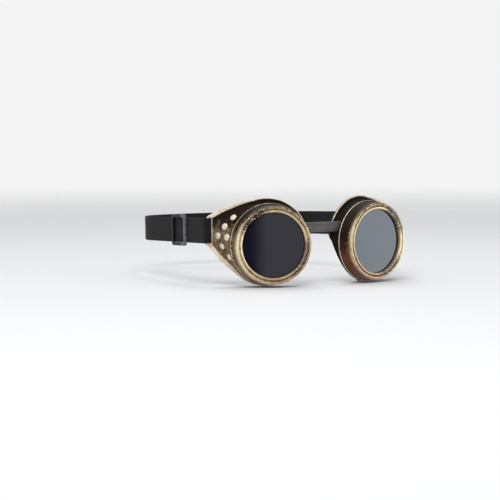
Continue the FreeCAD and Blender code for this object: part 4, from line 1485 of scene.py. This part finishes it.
class GOGGLES_OT_strap(bpy.types.Operator):
    """Sweeps the elastic webbing: the head band, the turns at the slots and the sewn ends"""

    bl_idname = "goggles.strap"
    bl_label = "Head strap"

    def execute(self, context):
        scene = context.scene
        strap, cup, slider = scene.goggle_strap, scene.goggle_cup, scene.goggle_slider
        elastic = webbing_finish(scene.goggle_colours)
        thread = thread_finish(scene.goggle_colours)
        outline = webbing_outline(strap)
        turn, loop, rear = strap.turn, strap.loop_length, strap.return_end
        frames = {side: strap_matrix(side, cup, strap) for side in SIDES}

        def webbing(name, side, path, body=None, nodes=()):
            bm = sweep(outline, stations(path))
            return make_piece(name, bm, frames[side], [elastic], body, nodes)

        def bend(piece, side, body, first, last):
            """Bakes the webbing's place into its mesh; the webbing is not bent."""
            start, end = (tuple(frames[side] @ Vector((0, y, 0))) for y in (first, last))
            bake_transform(piece)

        def sew(name, side, body, spots):
            bm = stitches(strap, spots)
            make_piece(name, bm, frames[side], [thread], body)

        def round_bar():
            """The outer layer, up to the slot and round its bar."""
            path = [Vector((turn, loop))]
            path += run(path[-1], (turn, 0), SLOT_PITCH)
            return path + bow((0, 0), turn, 0, -180, TURN_COUNT)

        # head band
        lean = math.degrees(strap.lean)
        centre = Vector((0, strap.head_centre))
        aside = Vector((math.cos(strap.lean), math.sin(strap.lean)))
        end = Vector((turn, loop, 0))
        ends = [(strap_plan(side, cup, strap) @ end).xy for side in SIDES]
        radius = (ends[0] - centre).dot(aside)
        path = [ends[0]]
        path += run(ends[0], centre + aside * radius, BAND_PITCH)
        path += bow(centre, radius, lean, 180 - lean, BAND_COUNT)
        path += run(path[-1], ends[1], BAND_PITCH)
        bm = sweep(outline, stations(path, strap_plane(cup, strap)))
        name, still = "head_band_webbing", Matrix.Identity(4)
        make_piece(name, bm, still, [elastic], ROOT, ["head_strap"])

        # left end: round the bar and sewn down inside the strap
        join_x = turn - strap.thick - strap.layer_gap
        path = round_bar()
        path += run(path[-1], (-turn, strap.left_bend), SLOT_PITCH)
        path += run(path[-1], (join_x, strap.left_join), SLOT_PITCH)
        path += run(path[-1], (join_x, strap.left_end))
        piece = webbing("left_turned_webbing", "left", path, nodes=["left_strap_loop"])
        bend(piece, "left", "left_cup", loop - BEND_END, BEND_END)
        seam = (loop + strap.left_seam_start, strap.left_end - strap.left_seam_end)
        spots = stitch_box(strap, turn + strap.thick / 2, *seam)
        sew("left_stitching", "left", ROOT, spots)

        # right end: round the bar, with both layers up to where they part
        path = round_bar()
        path += run(path[-1], (-turn, loop), SLOT_PITCH)
        piece = webbing("right_turned_webbing", "right", path, nodes=["right_strap_loop"])
        bend(piece, "right", "right_cup", loop - BEND_END, BEND_END)

        # inner layer, from the turn back to the sewn end at the slider
        path = [Vector((-turn, loop))]
        path += run(path[-1], (-turn, rear), BEND_PITCH)
        piece = webbing("right_return_webbing", "right", path)
        bend(piece, "right", "slider", loop + DRAW_END, rear - DRAW_END)

        # sewn end round the slider's middle bar
        bar_front = middle_bar(slider)
        bar_end = bar_front + slider.bar + slider.bar_gap
        wrap, rest = strap.wrap, -turn + strap.thick
        meet = bar_front - strap.slant
        path = [Vector((-turn, rear))]
        path += run(path[-1], (-turn, bar_end))
        path += bow((-turn + wrap, bar_end), wrap, 180, 0, WRAP_COUNT)
        path += run(path[-1], (-turn + 2 * wrap, bar_front), BEND_PITCH)
        path += run(path[-1], (rest, meet), BEND_PITCH)
        path += run(path[-1], (rest, rear + strap.wrap_end))
        webbing("sewn_end_webbing", "right", path, "slider", ["strap_sewn_end"])
        seam = (rear + strap.wrap_seam_end, meet - strap.wrap_seam_start)
        spots = stitch_box(strap, rest + strap.thick / 2, *seam)
        spots += stitch_box(strap, -turn - strap.thick / 2, *seam)
        sew("sewn_end_stitching", "right", "slider", spots)
        return {"FINISHED"}


class GOGGLES_OT_slider(bpy.types.Operator):
    """Models the slider: a flat frame with its middle bar dropped behind the strap"""

    bl_idname = "goggles.slider"
    bl_label = "Strap slider"

    def execute(self, context):
        scene = context.scene
        strap, slider = scene.goggle_strap, scene.goggle_slider
        black = slider_finish(scene.goggle_colours, slider)
        inner = strap.turn + strap.thick / 2 + slider.gap
        outer = inner + slider.thick
        end = slider.start + slider.reach
        half, wide = slider.height / 2, strap.width / 2
        past = 1 * MM
        bm = box((inner, slider.start, -half), (outer, end, half))
        round_edges(bm, long_edges(bm, slider.thick / 2), slider.corner, 5)
        opening = box(
            (inner - past, slider.start + slider.bar, -wide),
            (outer + past, end - slider.bar, wide),
        )
        round_edges(opening, long_edges(opening, slider.thick), slider.opening_corner, 4)
        bm = cut(bm, [opening])
        sharp = [e for e in bm.edges if e.calc_face_angle(0) > math.radians(60)]
        round_edges(bm, sharp, slider.edge, 3)
        back = -strap.turn + strap.thick / 2 + slider.bar_gap
        first = middle_bar(slider)
        last = first + slider.bar
        inside = wide + slider.gap
        bars = (
            box((back, first, -half), (back + slider.middle_thick, last, half)),
            box((back, first, inside), (outer - slider.edge, last, half)),
            box((back, first, -half), (outer - slider.edge, last, -inside)),
        )
        for bar in bars:
            round_edges(bar, bar.edges[:], slider.edge, 3)
            join(bm, bar)
        place_layer(bm)
        place, nodes = strap_matrix("right", scene.goggle_cup, strap), ["strap_slider"]
        make_piece("moulded_slider", bm, place, [black], "slider", nodes)
        return {"FINISHED"}


# Each soft box: name, place, what it is aimed at, width and height, power, tint
SOFT_BOXES = (
    ("key", (-0.55, -0.75, 0.95), (0, 0, 0), (0.7, 0.7), 8.0, (1, 1, 1)),
    ("side", (0.55, -0.36, -0.05), (0.04, -0.03, 0), (0.35, 0.4), 1.7, (0.80, 0.91, 1.0)),
    ("top", (0.1, 0.3, 1.1), (0, 0, 0), (0.8, 0.8), 4.5, (1, 1, 1)),
)


def soft_box(name, place, aim, size, power, tint):
    lamp = bpy.data.lights.new(name, "AREA")
    lamp.shape = "RECTANGLE"
    lamp.size, lamp.size_y = size
    lamp.energy = power
    lamp.color = tint
    thing = bpy.data.objects.new(name, lamp)
    thing.location = place
    thing.rotation_euler = (Vector(aim) - Vector(place)).to_track_quat("-Z", "Y").to_euler()
    thing.visible_camera = False
    bpy.context.scene.collection.objects.link(thing)
    return thing


def spare(lamp, thing):
    """Leaves a thing out of a lamp's light."""
    spared = bpy.data.collections.new(f"spared_by_{lamp.name}")
    spared.objects.link(thing)
    spared.collection_objects[0].light_linking.link_state = "EXCLUDE"
    lamp.light_linking.receiver_collection = spared


def fading_floor(stage, tint):
    """A pale floor that fades out to the backdrop."""
    bm = bmesh.new()
    bmesh.ops.create_circle(bm, cap_ends=True, segments=64, radius=stage.floor_radius)
    move(bm, Matrix.Translation((0, 0, CAD_BOX[0][2])))
    floor = loose_object("floor", bm)
    f = Finish("pale_floor")
    x, y, _ = f.split(f.add("ShaderNodeTexCoord", output="Object"))
    far = ((x * x + y * y) ** 0.5).step(stage.floor_near, stage.floor_far)
    f.surface(Base_Color=tint, Roughness=0.9)
    clear = f.add("ShaderNodeBsdfTransparent")
    f.show(f.add("ShaderNodeMixShader", None, {0: far, 1: f.shader, 2: clear}))
    floor.data.materials.append(f.material)
    floor.visible_glossy = False
    return floor


# The backdrop's dark flag: its middle from side to side, half its width before it fades and with
# its fading edge, and how bright it stays
FLAG_MIDDLE, FLAG_HALF, FLAG_EDGE, FLAG_LEVEL = -0.035, 0.066, 0.104, 0.06


def studio_world(stage):
    """Soft light all round. The camera, metal and glass see a pale backdrop instead, which has an
    upright dark flag in it for what they mirror."""
    world = bpy.data.worlds.new("studio")
    w = Nodes(world, "ShaderNodeOutputWorld")
    camera, glass, gloss = (
        w.add("ShaderNodeLightPath", output=f"Is {kind} Ray")
        for kind in ("Camera", "Transmission", "Glossy")
    )
    aside, _, _ = w.split(w.add("ShaderNodeTexCoord", output="Generated"))
    flag = abs(aside - FLAG_MIDDLE).step(FLAG_HALF, FLAG_EDGE, FLAG_LEVEL, 1.0)
    soft = {"Color": stage.ambient_tint, "Strength": stage.ambient}
    pale = {"Color": stage.backdrop, "Strength": flag.most(camera)}
    seen = (camera + (glass + gloss)).math("MINIMUM", 1.0)
    views = [w.add("ShaderNodeBackground", None, inputs) for inputs in (soft, pale)]
    w.show(w.add("ShaderNodeMixShader", None, {0: seen, 1: views[0], 2: views[1]}))
    return world


def picture_camera(stage):
    """A camera at the picture's angle, turned until the middle of the lenses is at its pixel."""
    camera = bpy.data.cameras.new("camera")
    camera.sensor_fit = "HORIZONTAL"
    camera.lens = camera.sensor_width * stage.focal_px / stage.picture_px
    level = math.cos(stage.elevation)
    back = Vector((
        math.sin(stage.azimuth) * level,
        -math.cos(stage.azimuth) * level,
        math.sin(stage.elevation),
    ))
    centre = stage.picture_px / 2
    aim = Vector((stage.aim_px[0] - centre, centre - stage.aim_px[1], -stage.focal_px))
    turn = back.to_track_quat("Z", "Y") @ aim.rotation_difference(-UP)
    thing = bpy.data.objects.new("camera", camera)
    thing.location = Vector((0, stage.front, 0)) + back * stage.distance
    thing.rotation_euler = turn.to_euler()
    bpy.context.scene.collection.objects.link(thing)
    return thing


class GOGGLES_OT_stage(bpy.types.Operator):
    """Sets up the floor, the soft light and the camera"""

    bl_idname = "goggles.stage"
    bl_label = "Stage"

    def execute(self, context):
        scene = context.scene
        stage = scene.goggle_stage
        scene.view_settings.view_transform = "Standard"
        floor = fading_floor(stage, scene.goggle_colours.floor)
        scene.world = studio_world(stage)
        lamps = {name: soft_box(name, *values) for name, *values in SOFT_BOXES}
        # the side lamp reaches below the floor, and would draw a line on it
        spare(lamps["side"], floor)
        scene.camera = picture_camera(stage)
        return {"FINISHED"}


OPERATORS = (
    GOGGLES_OT_rings,
    GOGGLES_OT_lenses,
    GOGGLES_OT_cups,
    GOGGLES_OT_studs,
    GOGGLES_OT_bridge,
    GOGGLES_OT_strap,
    GOGGLES_OT_slider,
    GOGGLES_OT_stage,
)


class GOGGLES_PT_panel(bpy.types.Panel):
    """Lists the goggles' pieces"""

    bl_idname = "GOGGLES_PT_panel"
    bl_label = "Goggles"
    bl_space_type = "VIEW_3D"
    bl_region_type = "UI"
    bl_category = "Goggles"

    def draw(self, context):
        for operator in OPERATORS:
            self.layout.operator(operator.bl_idname)


def register():
    for group in GROUPS.values():
        bpy.utils.register_class(group)
    for name, group in GROUPS.items():
        setattr(bpy.types.Scene, name, PointerProperty(type=group))
    for operator in OPERATORS:
        bpy.utils.register_class(operator)
    bpy.utils.register_class(GOGGLES_PT_panel)


def unregister():
    bpy.utils.unregister_class(GOGGLES_PT_panel)
    for operator in reversed(OPERATORS):
        bpy.utils.unregister_class(operator)
    for name, group in GROUPS.items():
        delattr(bpy.types.Scene, name)
        bpy.utils.unregister_class(group)


def main():
    register()
    for operator in OPERATORS:
        family, name = operator.bl_idname.split(".")
        getattr(getattr(bpy.ops, family), name)()


if __name__ == "__main__":
    main()
